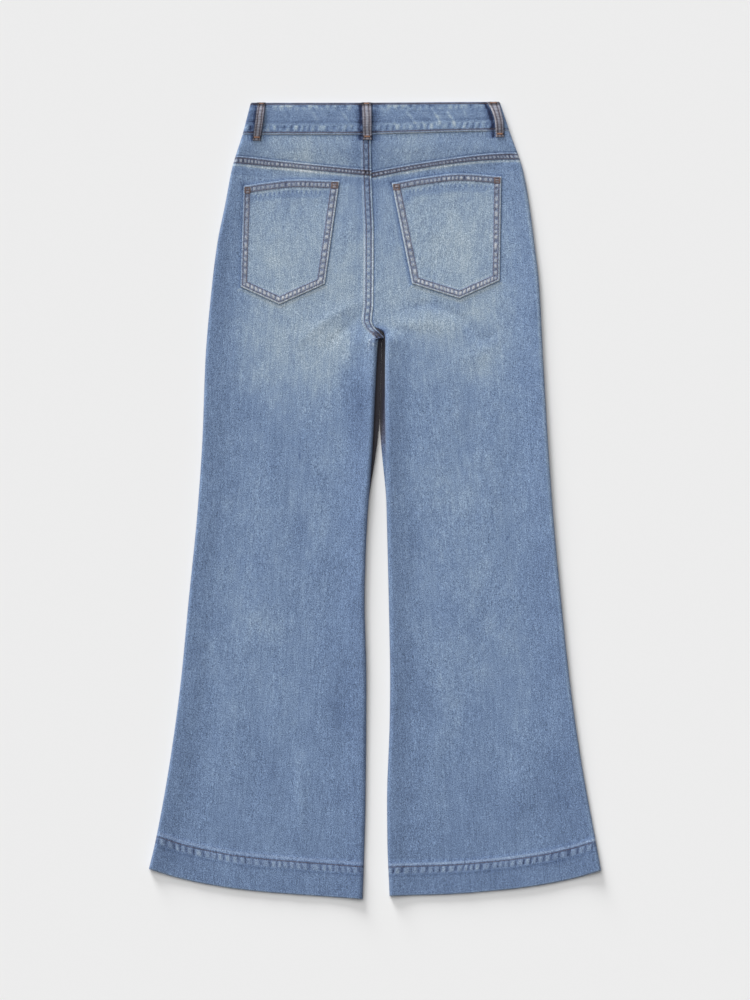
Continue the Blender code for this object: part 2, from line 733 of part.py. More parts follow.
def make_pocket(side):
    """Patch pocket: laid on the back panel, its border turned in and thicker."""
    top_points, bottom_points = POCKETS[side]["top"], POCKETS[side]["bottom"]
    wide = top_points[-1][0] - top_points[0][0]
    first, lowest, last = (x for x, down in bottom_points)
    point = (lowest - first) / (last - first)
    border = POCKET_BORDER / wide
    slope = STRIP_SLOPE / wide
    edge = 0.8 / wide
    columns = [(0.0, 0.5), (edge, 1.0), (border, 1.0), (border + slope, 0.0)]
    columns += [(share, 0.0) for share in (0.22, point - 0.1, point, point + 0.1, 0.78)]
    columns += [(1.0 - border - slope, 0.0), (1.0 - border, 1.0), (1.0 - edge, 1.0), (1.0, 0.5)]
    outer, inner = [], []
    rows = (
        (0.0, 0.5, "top"),
        (0.8, 1.0, "top"),
        (POCKET_HEM, 1.0, "top"),
        (POCKET_HEM + STRIP_SLOPE, 0.0, "top"),
        (0.33, 0.0, "share"),
        (0.6, 0.0, "share"),
        (POCKET_BORDER + STRIP_SLOPE, 0.0, "bottom"),
        (POCKET_BORDER, 1.0, "bottom"),
        (0.8, 1.0, "bottom"),
        (0.0, 0.5, "bottom"),
    )
    for distance, raised, kind in rows:
        outer_row, inner_row = [], []
        for across, column_raised in columns:
            x0, down0 = along_points(top_points, across)
            x1, down1 = along_corners(bottom_points, across)
            tall = down1 - down0
            share = {"top": distance / tall, "share": distance, "bottom": 1.0 - distance / tall}[kind]
            x, down = blend(x0, x1, share), blend(down0, down1, share)
            mouth = POCKET_MOUTH * (1.0 - smooth(0.0, 0.2, share)) * math.sin(math.pi * across)
            base = back_top(x, down, side) + GAP + mouth
            border_here = max(raised, column_raised) if min(raised, column_raised) != 0.5 else 0.5
            outer_row.append((x, down, base + WALL + POCKET_RAISE * border_here))
            inner_row.append((x, down, base))
        outer.append(outer_row)
        inner.append(inner_row)
    return shell("pocket_" + side, outer, inner, DENIM_SEAT)


def make_button():
    """Button: a turned disc with a raised rim, facing the surface under the band's ends."""
    profile = (
        (0.0, 0.45),
        (BUTTON_RADIUS - BUTTON_RIM - 0.6, 0.45),
        (BUTTON_RADIUS - BUTTON_RIM, 0.0),
        (BUTTON_RADIUS - 0.5, 0.0),
        (BUTTON_RADIUS, 0.5),
        (BUTTON_RADIUS, BUTTON_THICK),
        (0.0, BUTTON_THICK),
    )
    base = WAIST_LIFT - GAP - BUTTON_THICK
    mesh = bmesh.new()
    rings = []
    for radius, height in profile:
        if radius == 0.0:
            rings.append([mesh.verts.new(to_metres((0.0, BUTTON_DOWN, base + height)))])
            continue
        ring = []
        for side in range(BUTTON_SIDES):
            turn = 2 * math.pi * side / BUTTON_SIDES
            place = (radius * math.cos(turn), BUTTON_DOWN + radius * math.sin(turn), base + height)
            ring.append(mesh.verts.new(to_metres(place)))
        rings.append(ring)
    for first, second in zip(rings, rings[1:]):
        for side in range(BUTTON_SIDES):
            after = (side + 1) % BUTTON_SIDES
            face = [first[side % len(first)], second[side % len(second)]]
            face += [second[after]] if len(second) > 1 else []
            face += [first[after]] if len(first) > 1 else []
            mesh.faces.new(face)
    return finish("button", mesh, COPPER, 0.4, 1.0)


def clear_scene():
    for item in list(bpy.data.objects):
        bpy.data.objects.remove(item, do_unlink=True)


def main():
    clear_scene()
    make_waistband()
    for side in OUTWARD:
        make_yoke(side)
        make_back(side)
        make_pocket(side)
        make_front(side)
    make_loops()
    make_button()


main()
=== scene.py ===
"""Looks of the wide bootcut jeans, laid flat with the back side up.

Sizes are in millimetres and become metres where the vertices are made. "down" is a distance along
-Y from a line TOP_DOWN above the waistband's highest point. "left" and "right" are the wearer's,
which are also the left and right of the back view. Every cloth piece is a thin shell on the form
of the solid that it replaces, with its creases, puckers, seams and fading worked out here.
"""

import math
from functools import partial

import bpy
import numpy as np
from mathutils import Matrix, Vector


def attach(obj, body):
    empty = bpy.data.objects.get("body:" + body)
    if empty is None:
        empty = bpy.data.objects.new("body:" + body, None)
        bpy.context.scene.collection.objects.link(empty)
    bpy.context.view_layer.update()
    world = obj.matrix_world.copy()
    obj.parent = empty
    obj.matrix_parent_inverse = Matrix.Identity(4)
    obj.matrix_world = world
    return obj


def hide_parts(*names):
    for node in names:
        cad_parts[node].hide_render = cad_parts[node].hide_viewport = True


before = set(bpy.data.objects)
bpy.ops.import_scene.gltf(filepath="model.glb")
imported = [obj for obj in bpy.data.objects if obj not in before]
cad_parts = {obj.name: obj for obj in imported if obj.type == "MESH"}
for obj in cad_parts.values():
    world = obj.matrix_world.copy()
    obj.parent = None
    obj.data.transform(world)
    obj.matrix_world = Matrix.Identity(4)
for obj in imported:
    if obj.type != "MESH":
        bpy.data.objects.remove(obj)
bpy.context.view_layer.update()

MM = 0.001

# --------------------
# The garment's form: the rules of its solids, on outlines that follow the photo more closely
# --------------------

GAP = 0.3  # between two pieces
WALL = 1.2
BAND_WALL = 2.2
HEM_FOLD = 0.9  # what a turned-up hem adds to the wall; it fades out over HEM_RISE
HEM_RISE = 8.0
HEM_GROOVE = 0.35
HEM_PRESS = 0.3  # by how much less room is left under a hem
STRIP_RAISE = 0.8  # height of a felled seam's strip
YOKE_STRIP = 9.0
CENTRE_STRIP = 11.8
CENTRE_MARGIN = CENTRE_STRIP + 1.3
ROOM, EDGE_ROOM = 0.7, 3.1  # between the layers: in a leg's middle, and near its edges
ROOM_REACH = 34.0
LIFT_REACH = 58.0
ROLL, INNER_ROLL = 4.0, 5.2  # widths of a panel's turned outer and inner edge
INSEAM_REACH = 20.0
WAIST_LIFT = 2.9  # of the front off the surface, at the waist
WAIST_LIFT_FROM, WAIST_LIFT_TO = 52.0, 98.0
BAND_ROOM, BAND_EDGE_ROOM = 0.5, 1.5
YOKE_ROOM, YOKE_ROOM_TO = 0.6, 120.0
TOP_DOWN, TOTAL_DOWN = 0.6, 1021.4
CENTRE_DOWN = TOP_DOWN + (TOTAL_DOWN - TOP_DOWN) / 2
CROTCH_FROM, CROTCH_TO = 286.0, 308.0
SLOT_FROM = 331.0  # below this the inner edges have left the crotch's end
HEM_DEPTH = {"left": 41.8, "right": 37.4}
OUTWARD = {"left": -1.0, "right": 1.0}
BAND_DOWN = 40.0  # about where the waistband ends
CENTRE_BACK = -3.0
POCKET_RAISE = 0.6
POCKET_MOUTH = 0.5
MOUTH_DOWN = 100.0
LOOP_WALL, LOOP_END = 1.4, 2.1
LOOP_EDGE = 0.35
LOOP_STAND, FRONT_LOOP_STAND = 2.7, 1.15


class Table:
    """Rows of numbers under named columns, read between rows on a curve with no overshoot."""

    def __init__(self, columns, *rows):
        data = np.array([*zip(*rows)], float)
        self.places = data[0]
        self.values = dict(zip(columns.split(), data))
        self.slopes = {name: self.find_slopes(values) for name, values in self.values.items()}

    def find_slopes(self, values):
        rises = np.diff(values) / np.diff(self.places)
        before, after = rises[:-1], rises[1:]
        turns = before * after <= 0
        total = np.where(turns, 1.0, before + after)
        inside = np.where(turns, 0.0, 2 * before * after / total)
        return np.concatenate([rises[:1], inside, rises[-1:]])

    def at(self, name, place):
        places, values, slopes = self.places, self.values[name], self.slopes[name]
        place = np.clip(np.asarray(place, float), places[0], places[-1])
        row = np.clip(np.searchsorted(places, place, side="right") - 1, 0, len(places) - 2)
        step = places[row + 1] - places[row]
        t = (place - places[row]) / step
        return (
            values[row] * (1 + 2 * t) * (1 - t) ** 2
            + slopes[row] * step * t * (1 - t) ** 2
            + values[row + 1] * t * t * (3 - 2 * t)
            + slopes[row + 1] * step * t * t * (t - 1)
        )


OUTER_EDGES = Table(
    "down left right",
    (0, -158.7, 159.6),
    (40, -169.1, 173),
    (85, -183.1, 188.8),
    (130, -191.7, 197.3),
    (180, -201.8, 204),
    (230, -208.3, 209.9),
    (330, -217.2, 215.3),
    (430, -221, 221.2),
    (530, -227.9, 228.3),
    (640, -238.9, 238.5),
    (740, -248.5, 249.2),
    (840, -262, 263.4),
    (945, -280.8, 282.4),
    (984, -290.1, 289.6),
    (1022, -299.8, 297.1),
)
INNER_EDGES = Table(
    "down left right",
    (38, -5.7, -5.4),
    (91, -4.8, -4.5),
    (130, -3.5, -3.2),
    (165, -2, -1.7),
    (257, -2.4, -2.1),
    (280, -4.5, -4.2),
    (288, -1.6, -0.4),
    (290.8, 0.3, 4.9),
    (293.8, 3.7, 10),
    (298.2, 8.4, 12.4),
    (302.4, 11.6, 12.9),
    (304.4, 4.5, 13),
    (331, 2.3, 12.8),
    (385, -0.3, 12.7),
    (434, -2.6, 13.4),
    (485, -6, 13.9),
    (536, -9.8, 15.1),
    (588, -12.2, 16.4),
    (640, -13.2, 17.6),
    (741, -11, 19.3),
    (792, -11.2, 18.8),
    (895, -12.1, 15.4),
    (946, -13.3, 15.8),
    (1021.4, -15.7, 18.8),
)
FRONT_CENTRE = Table("down x", (38, 0), (200, 1.5), (302, 8.5), (400, 6.2), (520, 3))
FRONT_OPENS_FROM, FRONT_OPENS_TO = 395.0, 515.0
BAND_LINES = Table(
    "x top bottom",
    (-168, 1.6, 42.3),
    (-31, 1.5, 42.4),
    (33, 1.2, 40.7),
    (135, 0.6, 38.1),
    (172, 0.6, 37.8),
)
YOKE_SEAM = Table(
    "across left right",
    (0, 69.4, 65.3),
    (0.1, 70.7, 65.5),
    (0.25, 73.7, 67.4),
    (0.5, 78.2, 73.2),
    (0.75, 82.6, 80.6),
    (0.9, 85.1, 85.7),
    (1, 86.6, 89.4),
)
HEM_EDGE = Table(
    "across left right",
    (0, 982.1, 984.2),
    (0.14, 993.9, 995.2),
    (0.3, 1003.2, 1003.7),
    (0.48, 1010.4, 1010),
    (0.75, 1016.7, 1015.6),
    (1, 1021.4, 1017.3),
)
EDGE_LIFT = Table(
    "down outer_left inner_left inner_right outer_right",
    (0, 0.8, 0, 0, 1.2),
    (150, 1.8, 0, 0, 3),
    (300, 2, 0.6, 0.6, 3.6),
    (400, 2, 1.4, 1.2, 4.4),
    (500, 2.2, 4.2, 2.4, 4.6),
    (650, 2.2, 4, 2.4, 4.2),
    (850, 1.6, 2, 1.4, 2.8),
    (1022, 0.5, 0.7, 0.5, 0.9),
)
INSEAM_BULK = Table("down extra", (286, 0), (310, 2), (430, 1.8), (600, 0.9), (760, 0.2))
# Large soft folds: x, down, half width, half length, lean from the leg's length, height
FOLDS = (
    (-96, 898, 10, 48, 3, 0.9),
    (-128, 560, 30, 140, 2, 0.9),
    (-58, 420, 20, 95, -4, 0.8),
    (-188, 770, 20, 110, 8, 0.9),
    (-60, 740, 24, 120, 0, 0.7),
    (112, 640, 28, 150, -3, 0.9),
    (62, 838, 18, 85, 2, 0.8),
    (188, 880, 17, 75, -9, 0.8),
    (152, 440, 25, 95, -4, 0.8),
    (72, 470, 18, 80, 5, 0.7),
)
POCKETS = {
    "left": {
        "top": ((-167.9, 107.9), (-136.0, 103.0), (-100.5, 99.7), (-45.7, 101.4)),
        "bottom": ((-172.1, 236.9), (-122.3, 259.4), (-64.5, 233.4)),
    },
    "right": {
        "top": ((21.6, 104.2), (64.5, 96.5), (109.2, 92.0), (161.7, 95.7)),
        "bottom": ((47.6, 233.0), (108.2, 251.9), (159.5, 228.9)),
    },
}
POCKET_MOUTHS = {side: Table("x down", *outline["top"]) for side, outline in POCKETS.items()}
LOOPS = {
    "belt_loop_left": Table(
        "down left right", (1.4, -150.6, -140), (25, -153.4, -142.6), (50, -156.9, -146.3)
    ),
    "belt_loop_centre": Table(
        "down left right", (1.2, -17.1, -4.7), (25, -16.2, -4.4), (49, -15.6, -4.3)
    ),
    "belt_loop_right": Table(
        "down left right",
        (0.6, 142.9, 158.6),
        (11, 148.9, 160.9),
        (27, 153.6, 164.2),
        (45.6, 154.8, 165.1),
    ),
    "belt_loop_front_left": Table("down left right", (1.4, -98, -86), (49, -100, -88)),
    "belt_loop_front_right": Table("down left right", (1.4, 86, 98), (48, 88, 100)),
}
LOOP_PROFILE = Table(
    "along stand folded",
    (0, 0, 1),
    (0.07, 0, 1),
    (0.1, 0.1, 0),
    (0.2, 0.6, 0),
    (0.4, 1, 0),
    (0.62, 0.85, 0),
    (0.76, 0.4, 0),
    (0.86, 0, 0),
    (0.89, 0, 1),
    (1, 0, 1),
)


def blend(a, b, share):
    return a + (b - a) * share


def smooth(start, end, place):
    """0 at start, 1 at end, with no corner at either."""
    t = np.clip((place - start) / (end - start), 0.0, 1.0)
    return t * t * (3 - 2 * t)


def near(distance, reach):
    """1 on an edge, 0 from reach inwards."""
    return 1.0 - smooth(0.0, reach, distance)


def bump(distance, reach):
    """1 on a line, falling away softly on both sides."""
    return np.exp(-((distance / reach) ** 2))


def window(place, start, end, soft):
    """1 between start and end, with soft ends."""
    return smooth(start - soft, start + soft, place) * (1 - smooth(end - soft, end + soft, place))


def patches(x, down, table):
    """Sum of soft ovals. A row is x, down, half width, half length, lean in degrees, amount."""
    total = 0.0
    for middle_x, middle_down, wide, long, lean, amount in table:
        lean = math.radians(lean)
        dx, dy = x - middle_x, down - middle_down
        across = (dx * math.cos(lean) - dy * math.sin(lean)) / wide
        along = (dx * math.sin(lean) + dy * math.cos(lean)) / long
        total = total + amount * np.exp(-(across**2) - along**2)
    return total


def split(down):
    """0 where the legs are joined, 1 where they are apart."""
    return smooth(CROTCH_FROM, CROTCH_TO, down)


def edge_distances(x, down, side):
    """How far inside the leg's outer and inner edge a place is."""
    outer = np.abs(x - OUTER_EDGES.at(side, down))
    inner = (x - INNER_EDGES.at(side, np.maximum(down, SLOT_FROM))) * OUTWARD[side]
    return outer, np.maximum(0.0, inner)


def share_across(x, down, side):
    """How far across its leg a place is, from the outer edge (0) to the inner one (1)."""
    outer, inner = OUTER_EDGES.at(side, down), INNER_EDGES.at(side, down)
    return np.clip((x - outer) / (inner - outer), 0.0, 1.0)


def leg_x(side, down, across):
    """x of a share across a leg, from its outer edge (0) to its inner one (1)."""
    return blend(OUTER_EDGES.at(side, down), INNER_EDGES.at(side, down), across)


def underside(x, down, side):
    """Height of the front's lower face over the surface."""
    outer, inner = edge_distances(x, down, side)
    lift = near(outer, LIFT_REACH) * EDGE_LIFT.at("outer_" + side, down)
    lift = lift + near(inner, LIFT_REACH) * EDGE_LIFT.at("inner_" + side, down) * split(down)
    waist = WAIST_LIFT * (1.0 - smooth(WAIST_LIFT_FROM, WAIST_LIFT_TO, down))
    return np.where(waist < WAIST_LIFT, np.maximum(lift, waist), waist)


def back_wall(x, down, side, hem):
    inner = edge_distances(x, down, side)[1]
    bulk = INSEAM_BULK.at("extra", down) * near(inner, INSEAM_REACH) * split(down)
    return WALL + bulk + HEM_FOLD * hem


def front_top(x, down, side, hem=0.0):
    return underside(x, down, side) + WALL + HEM_FOLD * hem


def back_top(x, down, side, hem=0.0):
    outer, inner = edge_distances(x, down, side)
    edge = np.maximum(near(outer, ROOM_REACH), near(inner, ROOM_REACH) * split(down))
    room = blend(ROOM, EDGE_ROOM, edge) + patches(x, down, FOLDS) * (1.0 - edge) * (1.0 - hem)
    below_band = 1.0 - smooth(WAIST_LIFT_FROM, YOKE_ROOM_TO, down)
    room = room + YOKE_ROOM * (1.0 - edge) * below_band - HEM_PRESS * hem * (1.0 - edge)
    return front_top(x, down, side, hem) + room + back_wall(x, down, side, hem)


def band_top(x, down):
    side_edge = np.where(x < 0, OUTER_EDGES.at("left", down), OUTER_EDGES.at("right", down))
    room = blend(BAND_ROOM, BAND_EDGE_ROOM, near(np.abs(x - side_edge), ROOM_REACH))
    return WAIST_LIFT + 2 * BAND_WALL + room


# --------------------
# Creases and puckers, which the solids leave out
# --------------------


class Noise:
    """Smooth seeded noise from -1 to 1, one cell to a unit."""

    CELLS = 256

    def __init__(self, seed):
        self.cells = np.random.default_rng(seed).uniform(-1.0, 1.0, (self.CELLS, self.CELLS))

    def at(self, u, v=0.0):
        u, v = np.broadcast_arrays(np.asarray(u, float), np.asarray(v, float))
        i, j = np.floor(u).astype(int), np.floor(v).astype(int)
        s, t = smooth(0.0, 1.0, u - i), smooth(0.0, 1.0, v - j)
        i0, i1, j0, j1 = i % self.CELLS, (i + 1) % self.CELLS, j % self.CELLS, (j + 1) % self.CELLS
        low = blend(self.cells[i0, j0], self.cells[i1, j0], s)
        return blend(low, blend(self.cells[i0, j1], self.cells[i1, j1], s), t)


SWELL, RIPPLE, COCKLE = Noise(11), Noise(12), Noise(13)
PUCKER, CLOUD, FADE = Noise(14), Noise(15), Noise(16)

# Soft creases of the back layer: half width, height, and two to four points as x, down, x, down.
# A height above 0 is a ridge and below 0 a trough.
CREASES = (
    # drawn from the crotch under the seat
    (8, 0.9, -17, 255, -52, 272, -96, 306),
    (7, -0.7, -14, 272, -40, 292, -62, 318),
    (8, 0.5, -12, 292, -30, 318, -40, 352),
    (7, -0.8, 30, 266, 74, 258, 107, 275, 133, 304),
    (9, 0.8, 14, 287, 58, 284, 98, 286),
    (11, 0.6, 104, 332, 128, 326, 150, 310),
    (8, -0.4, 22, 306, 44, 326, 58, 362),
    (7, -0.5, 133, 304, 146, 302, 160, 292),
    # along the thighs
    (11, 0.5, -178, 300, -186, 352, -184, 410),
    (12, -0.4, -150, 340, -140, 390, -146, 446),
    (10, 0.5, -96, 352, -88, 400, -92, 452),
    (9, 0.5, -28, 366, -26, 420, -34, 470),
    (9, -0.5, 40, 380, 46, 440, 42, 496),
    (11, 0.4, 92, 352, 100, 404, 96, 462),
    (12, 0.5, 170, 330, 178, 392, 176, 452),
    (10, -0.4, 136, 470, 126, 524, 132, 572),
    # behind the knees
    (11, 0.6, -204, 500, -186, 538, -190, 590),
    (9, -0.6, -118, 500, -100, 548, -94, 596),
    (10, 0.5, -70, 520, -66, 560, -72, 612),
    (10, -0.5, -36, 600, -52, 640, -48, 690),
    (13, 0.5, -160, 590, -150, 640, -158, 690),
    (10, -0.6, 50, 520, 54, 580, 48, 640),
    (12, 0.4, 84, 560, 96, 620, 92, 676),
    (11, 0.5, 156, 590, 168, 640, 172, 700),
    (10, -0.5, 206, 548, 212, 600, 210, 652),
    # along the shins to the hems
    (10, 0.5, -222, 690, -228, 746, -240, 800),
    (12, 0.5, -128, 700, -124, 760, -130, 828),
    (8, 0.7, -94, 850, -95, 890, -92, 944),
    (10, -0.5, -152, 800, -150, 860, -160, 920),
    (10, -0.6, -40, 728, -42, 790, -36, 852),
    (9, 0.5, -204, 850, -214, 900, -224, 950),
    (8, 0.4, -52, 880, -50, 920, -54, 962),
    (10, -0.5, 46, 700, 40, 768, 44, 830),
    (11, 0.6, 92, 740, 84, 810, 78, 880),
    (8, 0.5, 82, 884, 78, 920, 80, 956),
    (12, -0.4, 142, 770, 150, 830, 158, 890),
    (11, 0.5, 214, 760, 226, 820, 240, 884),
    (9, -0.5, 190, 850, 202, 900, 212, 944),
    (8, -0.4, 40, 900, 42, 936, 38, 968),
    (9, 0.4, 120, 880, 124, 920, 120, 958),
    # over the hips beside the pockets
    (7, -0.5, -196, 160, -186, 196, -190, 236),
    (9, 0.4, -30, 120, -34, 170, -30, 216),
    (9, 0.4, 14, 130, 22, 176, 34, 222),
    (8, -0.4, 184, 120, 190, 170, 192, 222),
)
CREASE_END = 0.12  # share of a crease's length over which its height no longer falls
CREASES_FADE_FROM, CREASES_FADE_TO = 960.0, 985.0


def along_crease(points, x, down):
    """Distance to a crease, and how far along it the nearest place is, from 0 to 1."""
    lengths = np.hypot(*(points[1:] - points[:-1]).T)
    starts = np.concatenate([[0.0], np.cumsum(lengths)])
    best = np.full(np.shape(x), np.inf)
    place = np.zeros(np.shape(x))
    for start, end, before, length in zip(points, points[1:], starts, lengths):
        step = end - start
        t = ((x - start[0]) * step[0] + (down - start[1]) * step[1]) / length**2
        held = np.clip(t, 0.0, 1.0)
        distance = np.hypot(x - start[0] - held * step[0], down - start[1] - held * step[1])
        closer = distance < best
        best = np.where(closer, distance, best)
        place = np.where(closer, (before + held * length) / starts[-1], place)
    return best, place


def creases(x, down, table=CREASES):
    total = np.zeros(np.shape(x))
    for wide, high, *points in table:
        distance, place = along_crease(np.array(points, float).reshape(-1, 2), x, down)
        swell = np.sin(np.pi * np.clip(place, CREASE_END, 1 - CREASE_END)) ** 0.7
        total += high * bump(distance, wide) * swell
    return total


def relief(x, down):
    """Height that soft creases and the cloth's own unevenness add to a layer."""
    swell = 0.26 * SWELL.at(x / 58, down / 92) + 0.1 * RIPPLE.at(x / 23, down / 29)
    cockle = 0.03 * COCKLE.at(x / 6.3, down / 8.1)
    above_hem = 1 - smooth(CREASES_FADE_FROM, CREASES_FADE_TO, down)
    return swell + cockle + creases(x, down) * above_hem


def ladder(along, pitch, row):
    """Uneven puckers along a seam: about 0.6 on a ridge and -1 in a valley. row picks the noise."""
    phase = along / pitch + 0.42 * PUCKER.at(along / (2.3 * pitch), row)
    size = 0.86 + 0.5 * PUCKER.at(along / (1.6 * pitch), row + 40.5)
    valley = (0.5 - 0.5 * np.cos(2 * np.pi * phase)) ** 2
    return (0.62 - 1.6 * valley) * size


# --------------------
# What a place on the cloth looks like: its height above the solid's form, its wash from
# dark (0) to faded (1) with painted shade and light in it at some places, and how much of the
# thread's brown tints it
# --------------------


class Look:
    """Sums of the heights, washes and tints that seams, fades and painted shade add at some places.
    """

    def __init__(self, x, down):
        self.x, self.down = np.broadcast_arrays(np.asarray(x, float), np.asarray(down, float))
        self.high = self.wash = self.tint = np.zeros(self.x.shape)

    def add(self, high=0.0, wash=0.0, tint=0.0):
        self.high = self.high + high
        self.wash = self.wash + wash
        self.tint = self.tint + tint

    def row_of_thread(self, distance, share=1.0, dark=0.66, deep=0.22, tinted=0.46):
        """The dark groove that a row of stitches pulls into the cloth."""
        self.line(distance, 1.05, -dark, share=share, high=-deep, tint=tinted)

    def line(self, distance, reach, wash, share=1.0, high=0.0, tint=0.0):
        """A soft line of another wash, height or tint."""
        along = bump(distance, reach) * share
        self.add(high=high * along, wash=wash * along, tint=tint * along)

    def puckers(self, along, pitch, row, zone, high, wash, tint=0.0):
        # the wash along the puckers is fading worn into their ridges, and partly painted shade in
        # their valleys
        wave = ladder(along, pitch, row)
        self.add(high=high * wave * zone, wash=wash * wave * zone, tint=tint * zone)


# Wash of the legs: outer edge, middle and inner edge of each, by distance down
WASH = Table(
    "down left_outer left_middle left_inner right_inner right_middle right_outer",
    (40, 0.52, 0.72, 0.52, 0.56, 0.62, 0.50),
    (95, 0.48, 0.68, 0.60, 0.58, 0.64, 0.48),
    (170, 0.38, 0.74, 0.74, 0.70, 0.76, 0.46),
    (240, 0.36, 0.80, 0.78, 0.74, 0.80, 0.44),
    (300, 0.40, 0.78, 0.66, 0.62, 0.74, 0.44),
    (360, 0.38, 0.68, 0.48, 0.44, 0.60, 0.42),
    (430, 0.36, 0.52, 0.40, 0.38, 0.54, 0.40),
    (520, 0.38, 0.52, 0.36, 0.36, 0.56, 0.42),
    (600, 0.34, 0.50, 0.30, 0.34, 0.52, 0.36),
    (700, 0.38, 0.52, 0.30, 0.34, 0.52, 0.34),
    (780, 0.36, 0.46, 0.26, 0.32, 0.50, 0.34),
    (880, 0.32, 0.43, 0.30, 0.34, 0.42, 0.26),
    (970, 0.26, 0.38, 0.28, 0.32, 0.36, 0.24),
    (1020, 0.20, 0.28, 0.22, 0.28, 0.26, 0.18),
)
WASH_EDGE = 0.34  # share of a leg's width over which an edge's wash becomes the middle's

# Soft faded and dark places: x, down, half width, half length, lean, amount of wash
FADES = (
    # seat and under it
    (-58, 302, 20, 46, 52, 0.16),
    (-80, 340, 26, 40, 30, 0.10),
    (-128, 300, 34, 26, 0, 0.04),
    (58, 286, 44, 13, 0, 0.15),
    (134, 268, 18, 12, 0, 0.10),
    (132, 334, 20, 22, 30, 0.14),
    (76, 262, 40, 6, 0, -0.12),
    (122, 296, 16, 12, -40, -0.10),
    (-96, 276, 46, 9, 0, -0.06),
    (-206, 210, 10, 46, -8, -0.12),
    (-34, 246, 16, 40, 0, 0.08),
    (24, 250, 14, 34, 0, 0.06),
    (-24, 300, 9, 16, 0, -0.10),
    (-22, 382, 17, 60, 0, -0.30),
    (34, 382, 15, 60, 0, -0.06),
    (42, 590, 26, 200, 0, 0.12),
    (-206, 640, 28, 150, 4, 0.07),
    (-95, 78, 42, 16, 0, 0.13),
    # yokes
    (-90, 56, 36, 12, -82, 0.12),
    (46, 50, 34, 11, 80, 0.12),
    (-24, 66, 12, 20, 0, -0.10),
    (120, 56, 26, 10, 80, -0.05),
    # left leg
    (-160, 394, 18, 16, 0, -0.13),
    (-122, 462, 20, 30, -30, -0.09),
    (-44, 430, 26, 40, 20, 0.07),
    (-96, 548, 9, 20, 0, -0.16),
    (-66, 550, 14, 30, 0, 0.07),
    (-165, 524, 18, 20, 0, 0.07),
    (-168, 614, 26, 22, 0, 0.08),
    (-146, 668, 30, 26, 30, 0.09),
    (-196, 665, 18, 16, 0, -0.08),
    (-62, 696, 24, 14, 60, -0.12),
    (-46, 782, 18, 32, 0, -0.13),
    (-96, 880, 8, 42, 2, 0.10),
    (-140, 868, 16, 30, 0, -0.07),
    (-198, 790, 24, 30, 0, 0.05),
    (-208, 888, 14, 30, 0, 0.04),
    (-72, 596, 24, 12, 0, -0.06),
    # right leg
    (50, 560, 14, 46, 0, -0.12),
    (90, 652, 16, 14, 0, -0.10),
    (46, 734, 20, 46, 0, -0.10),
    (108, 506, 26, 32, 0, 0.05),
    (128, 610, 22, 40, 0, 0.06),
    (172, 690, 20, 30, 0, 0.07),
    (212, 590, 14, 42, 0, -0.09),
    (226, 712, 18, 24, 0, -0.10),
    (98, 776, 16, 40, 4, 0.08),
    (134, 782, 18, 16, 0, -0.10),
    (84, 896, 12, 48, 6, 0.10),
    (178, 908, 22, 26, 0, -0.11),
    (232, 904, 20, 26, 0, -0.10),
    (232, 846, 20, 20, 0, -0.08),
    (190, 800, 16, 30, 0, 0.04),
    # hems
    (-252, 970, 26, 10, -20, -0.12),
    (196, 980, 62, 9, 8, -0.10),
)
# Slubs, which are short dark threads in the cloth, in the same terms
SLUBS = (
    (-96.6, 454, 1.0, 5.0, 4, -0.75),
    (169.6, 559, 1.1, 3.6, -24, -0.55),
    (-118, 734, 0.9, 3.0, 8, -0.30),
    (66, 420, 0.9, 2.6, 0, -0.30),
)


def washed(x, down, side):
    """Wash of a leg's or yoke's cloth, without its seams."""
    across = share_across(x, down, side)
    outer, middle, inner = (
        WASH.at(side + "_" + place, down) for place in ("outer", "middle", "inner")
    )
    to_outer, to_inner = near(across, WASH_EDGE), near(1 - across, WASH_EDGE)
    wash = middle + (outer - middle) * to_outer + (inner - middle) * to_inner
    return wash + clouds(x, down, 21, 27) + patches(x, down, FADES)


def clouds(x, down, wide, long):
    """Uneven wash: broad clouds of that size, and finer ones over them."""
    return 0.05 * CLOUD.at(x / wide, down / long) + 0.035 * FADE.at(x / 9.5, down / 13.5)


# Distances from the fold, of a felled seam's two rows of stitches. The second one of a yoke's
# comes nearer to the first in the middle.
YOKE_ROW = 2.7
YOKE_SECOND_ROW = Table(
    "across left right",
    (0, 8.6, 8.2),
    (0.15, 8.4, 7.6),
    (0.3, 7.7, 6.8),
    (0.5, 7, 6.2),
    (0.8, 7, 6.5),
    (1, 7, 6.9),
)
YOKE_SLANTS = {"left": 0.05, "right": 0.55}  # of the puckers between the rows
CENTRE_ROWS = (2.9, 9.0)
CENTRE_ROWS_DARK = (0.82, 0.48)
CENTRE_FADES_FROM, CENTRE_FADES_TO = 298.0, 330.0
CENTRE_SHADE_FROM, CENTRE_SHADE_TO = 150.0, 190.0


def yoke_distance(x, down, side):
    """How far below the yoke's seam a place is."""
    return down - YOKE_SEAM.at(side, share_across(x, down, side))


def centre_distance(x, down, side):
    """How far outwards of the centre back seam and inner leg a place is."""
    return (x - INNER_EDGES.at(side, down)) * OUTWARD[side]


def hem_distance(x, down, side):
    """How far above the hem's edge a place is."""
    return HEM_EDGE.at(side, share_across(x, down, side)) - down


def hem_share(above, side):
    """Share of the hem's turned-up thickness."""
    sewn = HEM_DEPTH[side]
    places = (0.0, 1.5, sewn + 0.6, sewn + 1.8, sewn + HEM_RISE)
    return np.interp(above, places, (0.6, 1.0, 1.0, 0.85, 0.0))


